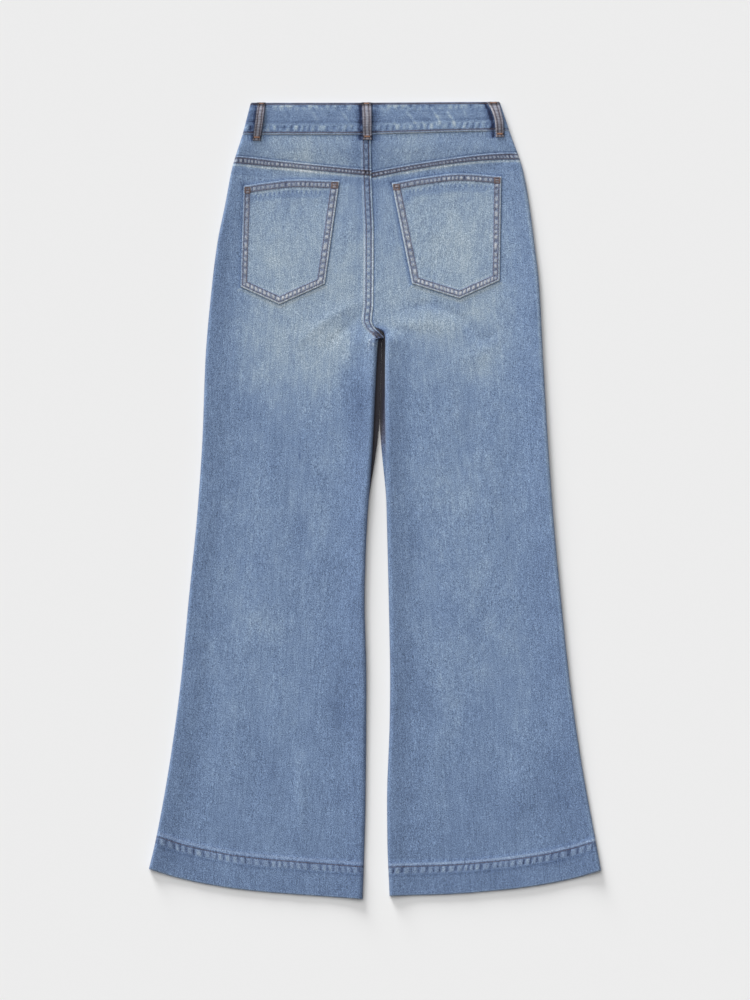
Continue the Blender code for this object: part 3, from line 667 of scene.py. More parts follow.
def add_yoke_seam(look, side):
    below = yoke_distance(look.x, look.down, side)
    across = share_across(look.x, look.down, side)
    second = YOKE_SECOND_ROW.at(side, across)
    ends = np.abs(across - 0.45) * 2
    # the raised strip, its worn fold and the shade above it
    raised = smooth(-0.3, 0.9, below) * (1 - smooth(second - 0.2, second + 1.5, below))
    look.add(high=STRIP_RAISE * raised)
    look.line(below - 0.8, 0.9, 0.16, tint=0.15)
    look.line(below + 0.7, 1.0, -0.34, share=0.6 + 0.9 * ends, high=-0.15)
    # the rows, and the puckers between them
    look.row_of_thread(below - YOKE_ROW, share=0.9 + 0.45 * ends)
    look.row_of_thread(below - second, share=0.75 + 0.4 * ends, dark=0.5)
    zone = window(below, YOKE_ROW + 0.9, second - 0.9, 0.6)
    look.add(wash=(0.02 - 0.1 * ends) * zone)
    slanted = look.x - YOKE_SLANTS[side] * below
    look.puckers(slanted, 4.8, 3.0 + OUTWARD[side], zone, 0.3, 0.85, 0.38)
    # the painted highlight below the second row, and the cloth on both sides of the seam
    look.line(below - second - 2.8, 1.6, 0.62 - 0.3 * ends)
    look.add(wash=-0.14 * window(below, second + 6.0, second + 15.0, 3.0) * (0.2 + 1.0 * ends))
    look.puckers(look.x, 6.8, 9.0, window(below, second + 1.5, second + 5.0, 1.5), 0.1, 0.13)
    look.puckers(look.x, 6.8, 12.0, window(below, -5.0, -1.6, 1.2), 0.09, 0.1)


def add_centre_seam(look, side):
    """The felled seam of the centre back, which the left side carries."""
    away = centre_distance(look.x, look.down, side)
    here = 1 - smooth(CENTRE_FADES_FROM, CENTRE_FADES_TO, look.down)
    high_up = 1 - smooth(CENTRE_SHADE_FROM, CENTRE_SHADE_TO, look.down)
    if side == "right":
        # painted shadow on the right panel beside the strip's edge
        look.line(away - 1.0, 1.1, -0.3, share=here, high=-0.2)
        look.add(wash=-0.2 * near(away, 14.0) * high_up)
        return
    raised = 1 - smooth(10.2, 12.0, away)
    look.add(high=STRIP_RAISE * raised * here)
    look.add(wash=-0.16 * near(away - 10.0, 16.0) * high_up)
    look.line(away - 0.9, 1.3, 0.5, share=here)
    for row, dark in zip(CENTRE_ROWS, CENTRE_ROWS_DARK):
        look.row_of_thread(away - row, share=here, dark=dark, tinted=0.34)
    look.puckers(look.down, 8.4, 21.0, window(away, 4.3, 7.8, 0.7) * here, 0.2, 0.4, 0.12)
    look.line(away - CENTRE_STRIP, 1.3, 0.26, share=here, tint=0.1)


# Place above the row of stitches, and wash, of a hem's worn ridge
HEM_RIDGES = {"left": (4.4, 0.2), "right": (2.8, 0.3)}


def add_hem(look, side):
    above = hem_distance(look.x, look.down, side)
    above_row = above - HEM_DEPTH[side]
    ridge, ridge_wash = HEM_RIDGES[side]
    slanted = look.x - 0.12 * OUTWARD[side] * above
    # the row, and the ridge, shade and puckers above it
    look.row_of_thread(above_row, deep=HEM_GROOVE, dark=0.55, tinted=0.24)
    look.line(above_row - ridge, 1.6, ridge_wash, tint=0.12)
    look.line(above_row - 6.0, 2.2, -0.16)
    look.puckers(slanted, 10.0, 34.0, window(above_row, 6.0, 12.0, 2.0), 0.1, 0.12)
    # the roping of the turned-up cloth under the row
    zone = window(above_row, -8.5, -1.4, 1.2)
    look.puckers(slanted, 9.2, 30.0 + OUTWARD[side], zone, 0.34, 0.5, 0.08)
    look.line(above_row + 11.5, 1.6, -0.22)
    # the worn lower edge
    look.add(wash=0.42 * near(above - 0.4, 2.6), tint=0.15 * near(above, 2.0))
    look.add(high=0.25 * SWELL.at(look.x / 17, 60.0) * near(above, 26.0))
    look.add(high=-0.6 * near(above, 1.3) ** 2)


UNDER_BAND_SHADING = {"left": -0.18, "right": 0.05}


def add_under_band(look, side):
    below = look.down - BAND_LINES.at("bottom", look.x)
    # painted shadow line under the waistband's lower edge on the left; a faint lighter line on the
    # right
    look.line(below - 1.0, 1.1, UNDER_BAND_SHADING[side])
    look.puckers(look.x, 6.1, 25.0, window(below, 1.8, 6.0, 1.4), 0.09, 0.14)


def pocket_edges(x, down, side):
    """How far inside a pocket's left, right, top and bottom edge a place is."""
    top, bottom = POCKETS[side]["top"], POCKETS[side]["bottom"]

    def beside(start, end, sign):
        lean = (end[0] - start[0]) / (end[1] - start[1])
        return sign * (x - start[0] - lean * (down - start[1])) / math.hypot(1, lean)

    left = beside(top[0], bottom[0], 1.0)
    right = beside(top[-1], bottom[-1], -1.0)
    below_top = down - POCKET_MOUTHS[side].at("down", x)
    above_bottom = (np.interp(x, *zip(*bottom)) - down) / bottom_lean(side)
    return left, right, below_top, above_bottom


def bottom_lean(side):
    """Distance down over distance square to a pocket's bottom edge."""
    (x0, down0), (x1, down1), _ = POCKETS[side]["bottom"]
    return math.hypot(1, (down1 - down0) / (x1 - x0))


# Painted shadow, as wash, on the panel close to a pocket's left, right, top and bottom edge, and
# farther out, where on some sides it is painted light instead
POCKET_OUTLINE_SHADING = {
    "left": ((-0.42, -0.12), (-0.28, 0.1), (-0.36, -0.08), (-0.2, 0.28)),
    "right": ((-0.62, -0.16), (-0.32, 0.0), (-0.42, -0.08), (-0.2, 0.26)),
}


def add_round_pocket(look, side):
    """The painted shadow line along a pocket's edge on the panel, painted light farther out on some
    sides, and the strain at its corners.
    """
    edges = np.stack(pocket_edges(look.x, look.down, side))
    outside = -np.min(edges, axis=0)
    close, wider = np.moveaxis(np.array(POCKET_OUTLINE_SHADING[side])[np.argmin(edges, axis=0)], -1, 0)
    # painted shadow close to the pocket's edge; farther out painted shade, and on some sides painted
    # light
    look.line(outside - 0.9, 1.1, close, share=smooth(-1.0, 0.2, outside))
    look.line(outside - 2.9, 2.2, wider)
    for x, down in (POCKETS[side]["top"][0], POCKETS[side]["top"][-1]):
        look.add(wash=-0.16 * bump(np.hypot(look.x - x, look.down - down), 7.0))


PIT_SHADE_MIDDLE = (7.2, 295.0)
CROTCH_END = 303.5


def add_crotch(look, side):
    """Painted shade in the pit where the felled seam ends, darker mottled thread over its end, and
    painted shade along that end.
    """
    from_pit_shade = np.hypot((look.x - PIT_SHADE_MIDDLE[0]) / 1.15, look.down - PIT_SHADE_MIDDLE[1])
    # painted shade in the pit where the seams meet
    look.add(wash=-0.95 * bump(from_pit_shade, 5.6))
    if side == "left":
        strip = window(centre_distance(look.x, look.down, side), 0.0, 12.0, 1.5)
        end = window(look.down, 294.0, 303.0, 2.5) * strip
        mottled = 0.5 + 0.5 * COCKLE.at(look.x / 1.7, look.down / 2.1)
        look.add(wash=-0.45 * end, tint=0.9 * end * mottled)
        # painted shade along the strip's end, where it meets the pit
        look.add(wash=-0.8 * bump(look.down - CROTCH_END, 3.4) * window(look.x, 0.0, 14.0, 2.0))


# Width at full strength, wash, and reach of the turned outer edge of each leg. The left one is
# darker cloth; the right one, which faces away from the light, is lightened by painted light.
OUTER_EDGE_LOOKS = {"left": (0.0, -0.16, 3.0), "right": (1.5, 0.36, 5.5)}


def panel_look(x, down, side):
    look = Look(x, down)
    look.add(high=relief(look.x, look.down), wash=washed(look.x, look.down, side))
    add_yoke_seam(look, side)
    add_centre_seam(look, side)
    add_round_pocket(look, side)
    add_crotch(look, side)
    add_hem(look, side)
    look.add(wash=patches(look.x, look.down, SLUBS))
    # darker cloth along the left leg's edge, painted light along the right leg's edge
    edge, edge_wash_and_light, reach = OUTER_EDGE_LOOKS[side]
    look.add(wash=edge_wash_and_light * near(edge_distances(look.x, look.down, side)[0] - edge, reach))
    return look


def panel_top(x, down, side):
    hem = hem_share(hem_distance(x, down, side), side)
    return back_top(x, down, side, hem) + panel_look(x, down, side).high


def yoke_look(x, down, side):
    look = Look(x, down)
    look.add(high=relief(look.x, look.down), wash=washed(look.x, look.down, side))
    below = yoke_distance(look.x, look.down, side)
    look.line(below + 0.9, 0.95, -0.34, high=-0.15)
    look.puckers(look.x, 6.8, 12.0, window(below, -5.0, -1.6, 1.2), 0.07, 0.08)
    add_centre_seam(look, side)
    add_under_band(look, side)
    add_beside_loops(look)
    return look


def yoke_top(x, down, side):
    return back_top(x, down, side) + yoke_look(x, down, side).high


# --------------------
# Making meshes
# --------------------

made = {}
SHARP_ANGLE = 38.0
SAMPLE = 40  # faces that show which way a shell faces
GRAIN_SHIFT = 0.37  # metres between the grains of two pieces


def at(x, down, z):
    """Points from their three coordinates."""
    return np.stack([x, down, z], axis=-1)


def to_metres(points):
    """Points as (x, down, z) in millimetres, to metres in the model's frame."""
    x, down, z = np.moveaxis(np.asarray(points, float), -1, 0)
    return at(x * MM, (CENTRE_DOWN - down) * MM, z * MM)


def every(count, step):
    """Every so many places of a row, with the last one."""
    return [*range(0, count - 1, step), count - 1]


def quads(rows, columns, first, turned):
    r, c = np.meshgrid(np.arange(rows - 1), np.arange(columns - 1), indexing="ij")
    a = (first + r * columns + c).ravel()
    faces = np.stack([a, a + 1, a + columns + 1, a + columns], axis=1)
    return (faces[:, ::-1] if turned else faces).tolist()


def wall_faces(rows, columns, kept_rows, kept_columns):
    """The faces that join the edges of a fine grid to those of the sparse one under it."""
    low = rows * columns
    wide = len(kept_columns)
    last_row, last_column = len(kept_rows) - 1, wide - 1
    faces = []
    for i, (a, b) in enumerate(zip(kept_rows, kept_rows[1:])):
        left = [r * columns for r in range(a, b + 1)]
        right = [r * columns + columns - 1 for r in range(b, a - 1, -1)]
        faces.append(left + [low + (i + 1) * wide, low + i * wide])
        faces.append(right + [low + i * wide + last_column, low + (i + 1) * wide + last_column])
    for i, (a, b) in enumerate(zip(kept_columns, kept_columns[1:])):
        first = list(range(b, a - 1, -1))
        last = [(rows - 1) * columns + c for c in range(a, b + 1)]
        faces.append(first + [low + i, low + i + 1])
        faces.append(last + [low + last_row * wide + i + 1, low + last_row * wide + i])
    return faces


def new_mesh(name, points, faces):
    data = bpy.data.meshes.new(name)
    data.from_pydata(points.tolist(), [], faces)
    data.validate()
    data.update()
    return data


def add_attributes(data, wash, tint, grain):
    for name, values in (("wash", wash), ("tint", tint)):
        layer = data.attributes.new(name, "FLOAT", "POINT")
        layer.data.foreach_set("value", np.asarray(values, np.float32).ravel())
    layer = data.attributes.new("grain", "FLOAT_VECTOR", "POINT")
    layer.data.foreach_set("vector", np.asarray(grain, np.float32).ravel())


def grain_of(points, turn, offset):
    """The cloth's own coordinates: the panel's place turned to its warp."""
    turn = math.radians(turn)
    x, y, z = points.T
    along = x * math.sin(turn) + y * math.cos(turn)
    across = x * math.cos(turn) - y * math.sin(turn)
    return np.stack([across + offset, along + 0.7 * offset, z], axis=1)


def facing_in(points, faces):
    """Whether the faces of a shell that lies on the surface look down into it."""
    up = 0.0
    for face in faces:
        a, b, c = (points[i] for i in face[:3])
        up += float(np.cross(b - a, c - a)[2])
    return up < 0


def cloth(name, node, grids, material, step=5, turn=0.0, face_down=False):
    """A closed thin shell in place of a solid: a fine outer grid, which is the lower one when it
    faces down, and a sparse inner one. The grids are the two layers' points and the outer
    layer's wash with its painted shading, and its tint."""
    outer, inner, wash, tint = grids
    rows, columns = outer.shape[:2]
    kept_rows, kept_columns = every(rows, step), every(columns, step)
    inside = np.ix_(kept_rows, kept_columns)
    points = np.concatenate([to_metres(grid).reshape(-1, 3) for grid in (outer, inner[inside])])
    faces = quads(rows, columns, 0, False)
    faces += quads(len(kept_rows), len(kept_columns), rows * columns, True)
    faces += wall_faces(rows, columns, kept_rows, kept_columns)
    third = len(faces) // 3
    if facing_in(points, faces[third : third + SAMPLE]):
        faces = [face[::-1] for face in faces]
    data = new_mesh(name, points, faces)
    data.shade_smooth()
    data.set_sharp_from_angle(angle=math.radians(SHARP_ANGLE))
    wash = np.concatenate([wash.ravel(), wash[inside].ravel()])
    tint = np.concatenate([tint.ravel(), tint[inside].ravel()])
    add_attributes(data, wash, tint, grain_of(points, turn, GRAIN_SHIFT * len(made)))
    if face_down:
        data.flip_normals()
    add_piece(name, data, material, node)


def add_piece(name, data, material, node=None):
    piece = bpy.data.objects.new(name, data)
    bpy.context.scene.collection.objects.link(piece)
    data.materials.append(material)
    made[name] = piece
    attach(piece, "root")
    if node:
        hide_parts(node)


# --------------------
# Materials
# --------------------

# The colour of washed denim, from unfaded indigo to bare cotton, by wash and its painted shading
WASH_RANGE = (-0.5, 1.5)
WASH_COLOURS = (
    (-0.50, (0.010, 0.018, 0.056)),
    (-0.20, (0.042, 0.070, 0.152)),
    (0.00, (0.082, 0.130, 0.242)),
    (0.17, (0.108, 0.164, 0.284)),
    (0.50, (0.162, 0.238, 0.382)),
    (0.68, (0.212, 0.294, 0.426)),
    (0.82, (0.262, 0.344, 0.452)),
    (0.97, (0.320, 0.400, 0.480)),
    (1.20, (0.440, 0.508, 0.572)),
    (1.50, (0.640, 0.690, 0.730)),
)
THREAD_TINT = (0.235, 0.205, 0.222)

# Patterns of the yarns, as noise: stretch along the warp, turn, scale, detail, roughness, share
# in the wash, which changes the hue, and share in the plain brightness
PATTERNS = {
    "yarn": (0.55, 0.0, 1250.0, 1.0, 0.5, 0.6, 1.6),
    "speck": (0.8, 31.0, 900.0, 1.0, 0.5, 0.35, 0.9),
    "warp": (0.1, 0.0, 780.0, 2.0, 0.6, 0.34, 0.4),
    "slub": (0.06, 1.5, 430.0, 1.0, 0.5, 0.24, 0.1),
    "cloud": (1.0, 0.0, 130.0, 3.0, 0.6, 0.24, 0.0),
}
TWILL_SHARES = (0.06, 0.1)
TWILL = 0.00062  # metres between two ridges of the weave
TWILL_TURN = -62.0
WAVE_PERIOD = 0.314  # of a wave texture at scale 1


class Nodes:
    """Short ways to make and link a material's nodes."""

    def __init__(self, name):
        self.material = bpy.data.materials.new(name)
        self.material.use_nodes = True
        self.tree = self.material.node_tree
        self.shader = self.tree.nodes["Principled BSDF"]

    def put(self, socket, value):
        if isinstance(value, bpy.types.NodeSocket):
            self.tree.links.new(value, socket)
        else:
            socket.default_value = value

    def fill(self, node, **inputs):
        for key, value in inputs.items():
            self.put(node.inputs[key.replace("_", " ")], value)

    def node(self, kind, settings=None, **inputs):
        node = self.tree.nodes.new(kind)
        for key, value in (settings or {}).items():
            setattr(node, key, value)
        self.fill(node, **inputs)
        return node

    def maths(self, operation, *values):
        node = self.node("ShaderNodeMath", {"operation": operation})
        for socket, value in zip(node.inputs, values):
            self.put(socket, value)
        return node.outputs[0]

    def attribute(self, name, output):
        return self.node("ShaderNodeAttribute", {"attribute_name": name}).outputs[output]

    def place(self):
        return self.node("ShaderNodeTexCoord").outputs["Object"]

    def stretched(self, vector, stretch, turn=0.0):
        """The vector with its length along the cloth stretched, then turned."""
        turned = (0.0, 0.0, math.radians(turn))
        scale = (1.0, stretch, 1.0)
        node = self.node("ShaderNodeMapping", Vector=vector, Scale=scale, Rotation=turned)
        return node.outputs[0]

    def noise(self, vector, scale, detail, roughness):
        return self.node(
            "ShaderNodeTexNoise", Vector=vector, Scale=scale, Detail=detail, Roughness=roughness
        ).outputs["Fac"]

    def ramp(self, factor, stops):
        node = self.tree.nodes.new("ShaderNodeValToRGB")
        elements = node.color_ramp.elements
        while len(elements) < len(stops):
            elements.new(0.5)
        for element, (place, colour) in zip(elements, stops):
            element.position = place
            element.color = (*colour, 1.0)
        self.put(node.inputs[0], factor)
        return node.outputs["Color"]

    def colour_mix(self, factor, first, second):
        node = self.node("ShaderNodeMix", {"data_type": "RGBA"})
        for index, value in ((0, factor), (6, first), (7, second)):
            self.put(node.inputs[index], value)
        return node.outputs[2]

    def scaled(self, colour, factor):
        node = self.node("ShaderNodeVectorMath", {"operation": "SCALE"}, Scale=factor)
        self.put(node.inputs[0], colour)
        return node.outputs[0]

    def finish(self, height, strength, depth, **inputs):
        """The material, with the shader's inputs and bumps of that height filled in."""
        bumps = self.node("ShaderNodeBump", Strength=strength, Distance=depth, Height=height)
        self.fill(self.shader, Normal=bumps.outputs[0], **inputs)
        return self.material


def denim(name, speckle=1.0):
    """Washed twill: the wash with its painted shading sets the colour, and yarns, specks and twill
    break it up.
    """
    nodes = Nodes(name)
    grain = nodes.attribute("grain", "Vector")
    wash = nodes.attribute("wash", "Fac")
    tint = nodes.attribute("tint", "Fac")
    twill = nodes.node(
        "ShaderNodeTexWave",
        {"wave_type": "BANDS", "bands_direction": "X", "wave_profile": "SIN"},
        Vector=nodes.stretched(grain, 1.0, TWILL_TURN),
        Scale=WAVE_PERIOD / TWILL,
        Distortion=0.8,
        Detail=1.0,
    ).outputs["Fac"]

    patterns = {}
    shares = []
    for pattern, (stretch, turn, scale, detail, roughness, *share) in PATTERNS.items():
        vector = nodes.stretched(grain, stretch, turn)
        patterns[pattern] = nodes.noise(vector, scale, detail, roughness)
        shares.append((patterns[pattern], *share))
    total, bright = wash, 1.0
    for pattern, in_wash, in_bright in [*shares, (twill, *TWILL_SHARES)]:
        offset = nodes.maths("SUBTRACT", pattern, 0.5)
        total = nodes.maths("MULTIPLY_ADD", offset, in_wash * speckle, total)
        bright = nodes.maths("MULTIPLY_ADD", offset, in_bright * speckle, bright)

    low, high = WASH_RANGE
    factor = nodes.maths("DIVIDE", nodes.maths("SUBTRACT", total, low), high - low)
    stops = [((place - low) / (high - low), colour) for place, colour in WASH_COLOURS]
    worn = nodes.maths("MAXIMUM", nodes.maths("MULTIPLY_ADD", total, 0.75, 0.5), 0.1)
    threaded = nodes.scaled(THREAD_TINT, worn)
    share = nodes.maths("MINIMUM", tint, 0.9)
    mixed = nodes.colour_mix(share, nodes.ramp(factor, stops), threaded)

    height = nodes.maths("MULTIPLY", patterns["warp"], 0.8)
    height = nodes.maths("MULTIPLY_ADD", twill, 0.5, height)
    height = nodes.maths("MULTIPLY_ADD", patterns["speck"], 0.7, height)
    return nodes.finish(
        height,
        strength=0.55,
        depth=0.00016,
        Base_Color=nodes.scaled(mixed, nodes.maths("MAXIMUM", bright, 0.3)),
        Roughness=nodes.maths("MULTIPLY_ADD", patterns["speck"], 0.18, 0.76),
        Specular_IOR_Level=0.22,
        Sheen_Weight=0.12,
        Sheen_Roughness=0.6,
    )


def thread(name, dark, light):
    """Twisted sewing thread, worn lighter in places."""
    nodes = Nodes(name)
    place = nodes.place()
    fibre = nodes.noise(place, 1500.0, 2.0, 0.6)
    worn = nodes.noise(place, 130.0, 2.0, 0.5)
    share = nodes.maths("MULTIPLY_ADD", worn, 0.6, nodes.maths("MULTIPLY", fibre, 0.5))
    return nodes.finish(
        fibre,
        strength=0.5,
        depth=0.0001,
        Base_Color=nodes.ramp(share, ((0.3, dark), (0.75, light))),
        Roughness=0.62,
        Specular_IOR_Level=0.3,
        Sheen_Weight=0.2,
    )


def button_metal():
    """Aged copper: darker in stains, with fine scratches."""
    nodes = Nodes("button_metal")
    place = nodes.place()
    stain = nodes.noise(place, 260.0, 3.0, 0.6)
    scratch = nodes.noise(nodes.stretched(place, 0.2, 30.0), 1400.0, 2.0, 0.5)
    return nodes.finish(
        scratch,
        strength=0.3,
        depth=0.00005,
        Base_Color=nodes.ramp(stain, ((0.35, (0.20, 0.10, 0.055)), (0.65, (0.50, 0.27, 0.15)))),
        Roughness=nodes.maths("MULTIPLY_ADD", scratch, 0.3, 0.25),
        Metallic=1.0,
    )


DENIM = denim("denim")
BAND_DENIM = denim("band_denim", speckle=0.9)
LOOP_DENIM = denim("loop_denim", speckle=0.6)
BROWN_THREAD = thread("brown_thread", (0.060, 0.040, 0.045), (0.150, 0.100, 0.090))
TACK_THREAD = thread("tack_thread", (0.160, 0.070, 0.040), (0.400, 0.210, 0.130))
POCKET_TACK_THREAD = thread("pocket_tack_thread", (0.065, 0.045, 0.048), (0.230, 0.160, 0.150))

# --------------------
# Cloth pieces
# --------------------


def spaced(*stretches):
    """Places along a line: for each stretch its start, end and greatest step."""
    places = []
    for start, end, step in stretches:
        count = max(1, math.ceil((end - start) / step - 1e-6))
        places += [start + (end - start) * i / count for i in range(count)]
    return np.array([*places, stretches[-1][1]])


def edge_dense(count, first):
    """Shares from 0 to 1, evenly spaced but for one close step at each end."""
    return np.concatenate([[0.0], np.linspace(first * 0.35, 1 - first * 0.35, count), [1.0]])


def joined(columns):
    """The grids of a cloth from its columns of outer and inner points and looks."""
    outer, inner, looks = zip(*columns)
    parts = outer, inner, [look.wash for look in looks], [look.tint for look in looks]
    return [np.stack(part, axis=1) for part in parts]


STRAIGHT_FROM, STRAIGHT_TO = 235.0, 760.0  # where a leg's rows run straight across
ABOVE_HEM = 60.0


def leg_down(side, nominal, across):
    """down across a back panel for lines that are at nominal on the inner edge."""
    seam_end = float(YOKE_SEAM.at(side, 1.0))
    hem_end = float(HEM_EDGE.at(side, 1.0))
    by_seam = 1.0 - smooth(seam_end + YOKE_STRIP, STRAIGHT_FROM, nominal)
    by_hem = smooth(STRAIGHT_TO, hem_end - ABOVE_HEM, nominal)
    seam = YOKE_SEAM.at(side, across) - seam_end
    hem = HEM_EDGE.at(side, across) - hem_end
    return nominal + by_seam * seam + by_hem * hem


def band_bottom(side, across):
    """down of the waistband's lower edge at a share across a panel."""
    return BAND_LINES.at("bottom", leg_x(side, BAND_DOWN, across))


def yoke_down(side, shares, across):
    start = band_bottom(side, across) + GAP
    return blend(start, YOKE_SEAM.at(side, across) - GAP, shares)


TYPICAL_WIDTH = 215.0
ROLL_ANGLES = (0, 14, 28, 42, 56, 68, 80, 90)
MIDDLE_COLUMNS = 168
STRIP_COLUMNS = 13


def panel_columns():
    """Columns of a back panel from its outer edge to its inner one."""
    columns = [("outer roll", angle) for angle in ROLL_ANGLES]
    shares = np.linspace(0.0, 1.0, MIDDLE_COLUMNS + 2)[1:-1]
    columns += [("share", share) for share in shares]
    strip = np.linspace(CENTRE_MARGIN, INNER_ROLL, STRIP_COLUMNS)
    columns += [("distance", distance) for distance in strip[:-1]]
    columns += [("inner roll", angle) for angle in reversed(ROLL_ANGLES)]
    return columns


def nominal_share(kind, value):
    if kind == "outer roll":
        return ROLL * value / 90 / TYPICAL_WIDTH
    if kind == "inner roll":
        return 1.0 - INNER_ROLL * value / 90 / TYPICAL_WIDTH
    if kind == "distance":
        return 1.0 - value / TYPICAL_WIDTH
    return blend(ROLL / TYPICAL_WIDTH, 1.0 - CENTRE_MARGIN / TYPICAL_WIDTH, value)


def column_x(kind, value, side, down):
    """x of a column. The value of a roll is how far round it, in degrees, the column is."""
    out = OUTWARD[side]
    outer_x, inner_x = OUTER_EDGES.at(side, down), INNER_EDGES.at(side, down)
    if kind == "share":
        return blend(outer_x - out * ROLL, inner_x + out * CENTRE_MARGIN, value)
    if kind == "distance":
        return inner_x + out * value
    if kind == "outer roll":
        return outer_x - out * ROLL * (1 - math.cos(math.radians(value)))
    flat_x = inner_x + out * INNER_ROLL * value / 90
    round_x = inner_x + out * INNER_ROLL * (1 - math.cos(math.radians(value)))
    return blend(flat_x, round_x, split(down))


def back_column(kind, value, side, down, hem, high):
    """Outer and inner points of one column of a back panel. high is the height of its creases
    and seams, read at the place where its roll begins."""
    out = OUTWARD[side]
    x = column_x(kind, value, side, down)
    turn = math.radians(value)
    if kind == "outer roll":
        outer_x = OUTER_EDGES.at(side, down)
        low = front_top(outer_x, down, side, hem) + GAP
        top = back_top(outer_x - out * ROLL, down, side, hem)
        wall = back_wall(outer_x, down, side, hem)
        inside_x = outer_x - out * (wall + (ROLL - wall) * (1 - math.cos(turn)))
        z = low + (top + high - low) * math.sin(turn)
        inside_z = low + np.maximum(0.0, top - wall - low) * math.sin(turn)
        return at(x, down, z), at(inside_x, down, inside_z)
    top = back_top(x, down, side, hem)
    wall = back_wall(x, down, side, hem)
    if kind != "inner roll":
        return at(x, down, top + high), at(x, down, top - wall)
    rolled = split(down)
    inner_x = INNER_EDGES.at(side, down)
    low = front_top(inner_x, down, side, hem) + GAP
    top = top + high
    crown = back_top(inner_x + out * INNER_ROLL, down, side, hem) + high
    flat_x = inner_x + out * INNER_ROLL * value / 90
    inside = inner_x + out * (wall + (INNER_ROLL - wall) * (1 - math.cos(turn)))
    z = blend(top, low + (crown - low) * math.sin(turn), rolled)
    inside_z = low + (crown - high - wall - low) * math.sin(turn)
    inside_z = blend(top - high - wall, inside_z, rolled)
    return at(x, down, z), at(blend(flat_x, inside, rolled), down, inside_z)


def back_grids(side, down_at, look_at, with_hem):
    columns = []
    for kind, value in panel_columns():
        down = down_at(nominal_share(kind, value))
        x = column_x(kind, value, side, down)
        hem = hem_share(hem_distance(x, down, side), side) if with_hem else 0.0
        if kind == "outer roll":
            x = OUTER_EDGES.at(side, down) - OUTWARD[side] * ROLL
        look = look_at(x, down, side)
        columns.append((*back_column(kind, value, side, down, hem, look.high), look))
    return joined(columns)


def make_backs():
    for side in OUTWARD:
        seam = float(YOKE_SEAM.at(side, 1.0))
        hem = float(HEM_EDGE.at(side, 1.0))
        nominal = spaced(
            (seam, seam + 14.0, 0.9),
            (seam + 14.0, 272.0, 1.9),
            (272.0, 312.0, 1.2),
            (312.0, hem - ABOVE_HEM, 3.0),
            (hem - ABOVE_HEM, hem - 24.0, 1.1),
            (hem - 24.0, hem - 3.0, 1.9),
            (hem - 3.0, hem, 0.5),
        )
        grids = back_grids(side, partial(leg_down, side, nominal), panel_look, True)
        turn = -3.5 * OUTWARD[side]
        cloth("leg_back_" + side, "back_" + side, grids, DENIM, turn=turn)


def make_yokes():
    shares = spaced((0.0, 0.12, 0.03), (0.12, 0.8, 0.03), (0.8, 1.0, 0.02))
    for side in OUTWARD:
        grids = back_grids(side, partial(yoke_down, side, shares), yoke_look, False)
        turn = 14.0 * OUTWARD[side]
        cloth("yoke_cloth_" + side, "yoke_" + side, grids, DENIM, turn=turn)


# Stitched borders of the pockets: distance of the two rows from each edge
POCKET_ROWS = {
    "left": {"left": (2.4, 7.4), "right": (2.8, 9.3), "top": (3.0, 9.0), "bottom": (2.6, 8.5)},
    "right": {"left": (3.0, 9.1), "right": (2.7, 8.1), "top": (2.8, 8.5), "bottom": (2.8, 8.9)},
}
# Wash of a pocket's left, right, top and bottom border: its fold, between its rows, its second
# row of stitches, and the cloth inside it
POCKET_FOLDS = {
    "left": (
        (0.08, 0.0, -0.34, 0.02),
        (0.62, 0.05, -0.55, 0.04),
        (-0.1, -0.12, -0.36, 0.16),
        (0.62, 0.2, -0.72, 0.1),
    ),
    "right": (
        (0.5, 0.06, -0.5, 0.04),
        (0.34, 0.0, -0.5, 0.04),
        (-0.1, -0.12, -0.44, 0.1),
        (0.55, 0.18, -0.7, 0.12),
    ),
}
POCKET_PITCHES = (8.4, 8.4, 5.9, 5.2)  # of the puckers in the same four borders

# Fading of the pockets, in the same terms as the legs'
POCKET_FADES = (
    (-116, 206, 34, 42, 0, 0.16),
    (-112, 132, 46, 16, 84, -0.05),
    (100, 180, 38, 46, 0, 0.14),
    (76, 128, 26, 14, 80, -0.05),
    (-58, 118, 8, 9, 0, -0.3),
    (-160, 122, 7, 7, 0, -0.3),
    (40, 122, 7, 7, 0, -0.3),
    (156, 116, 6, 7, 0, -0.25),
)
POCKET_WASH = {"left": 0.76, "right": 0.78}


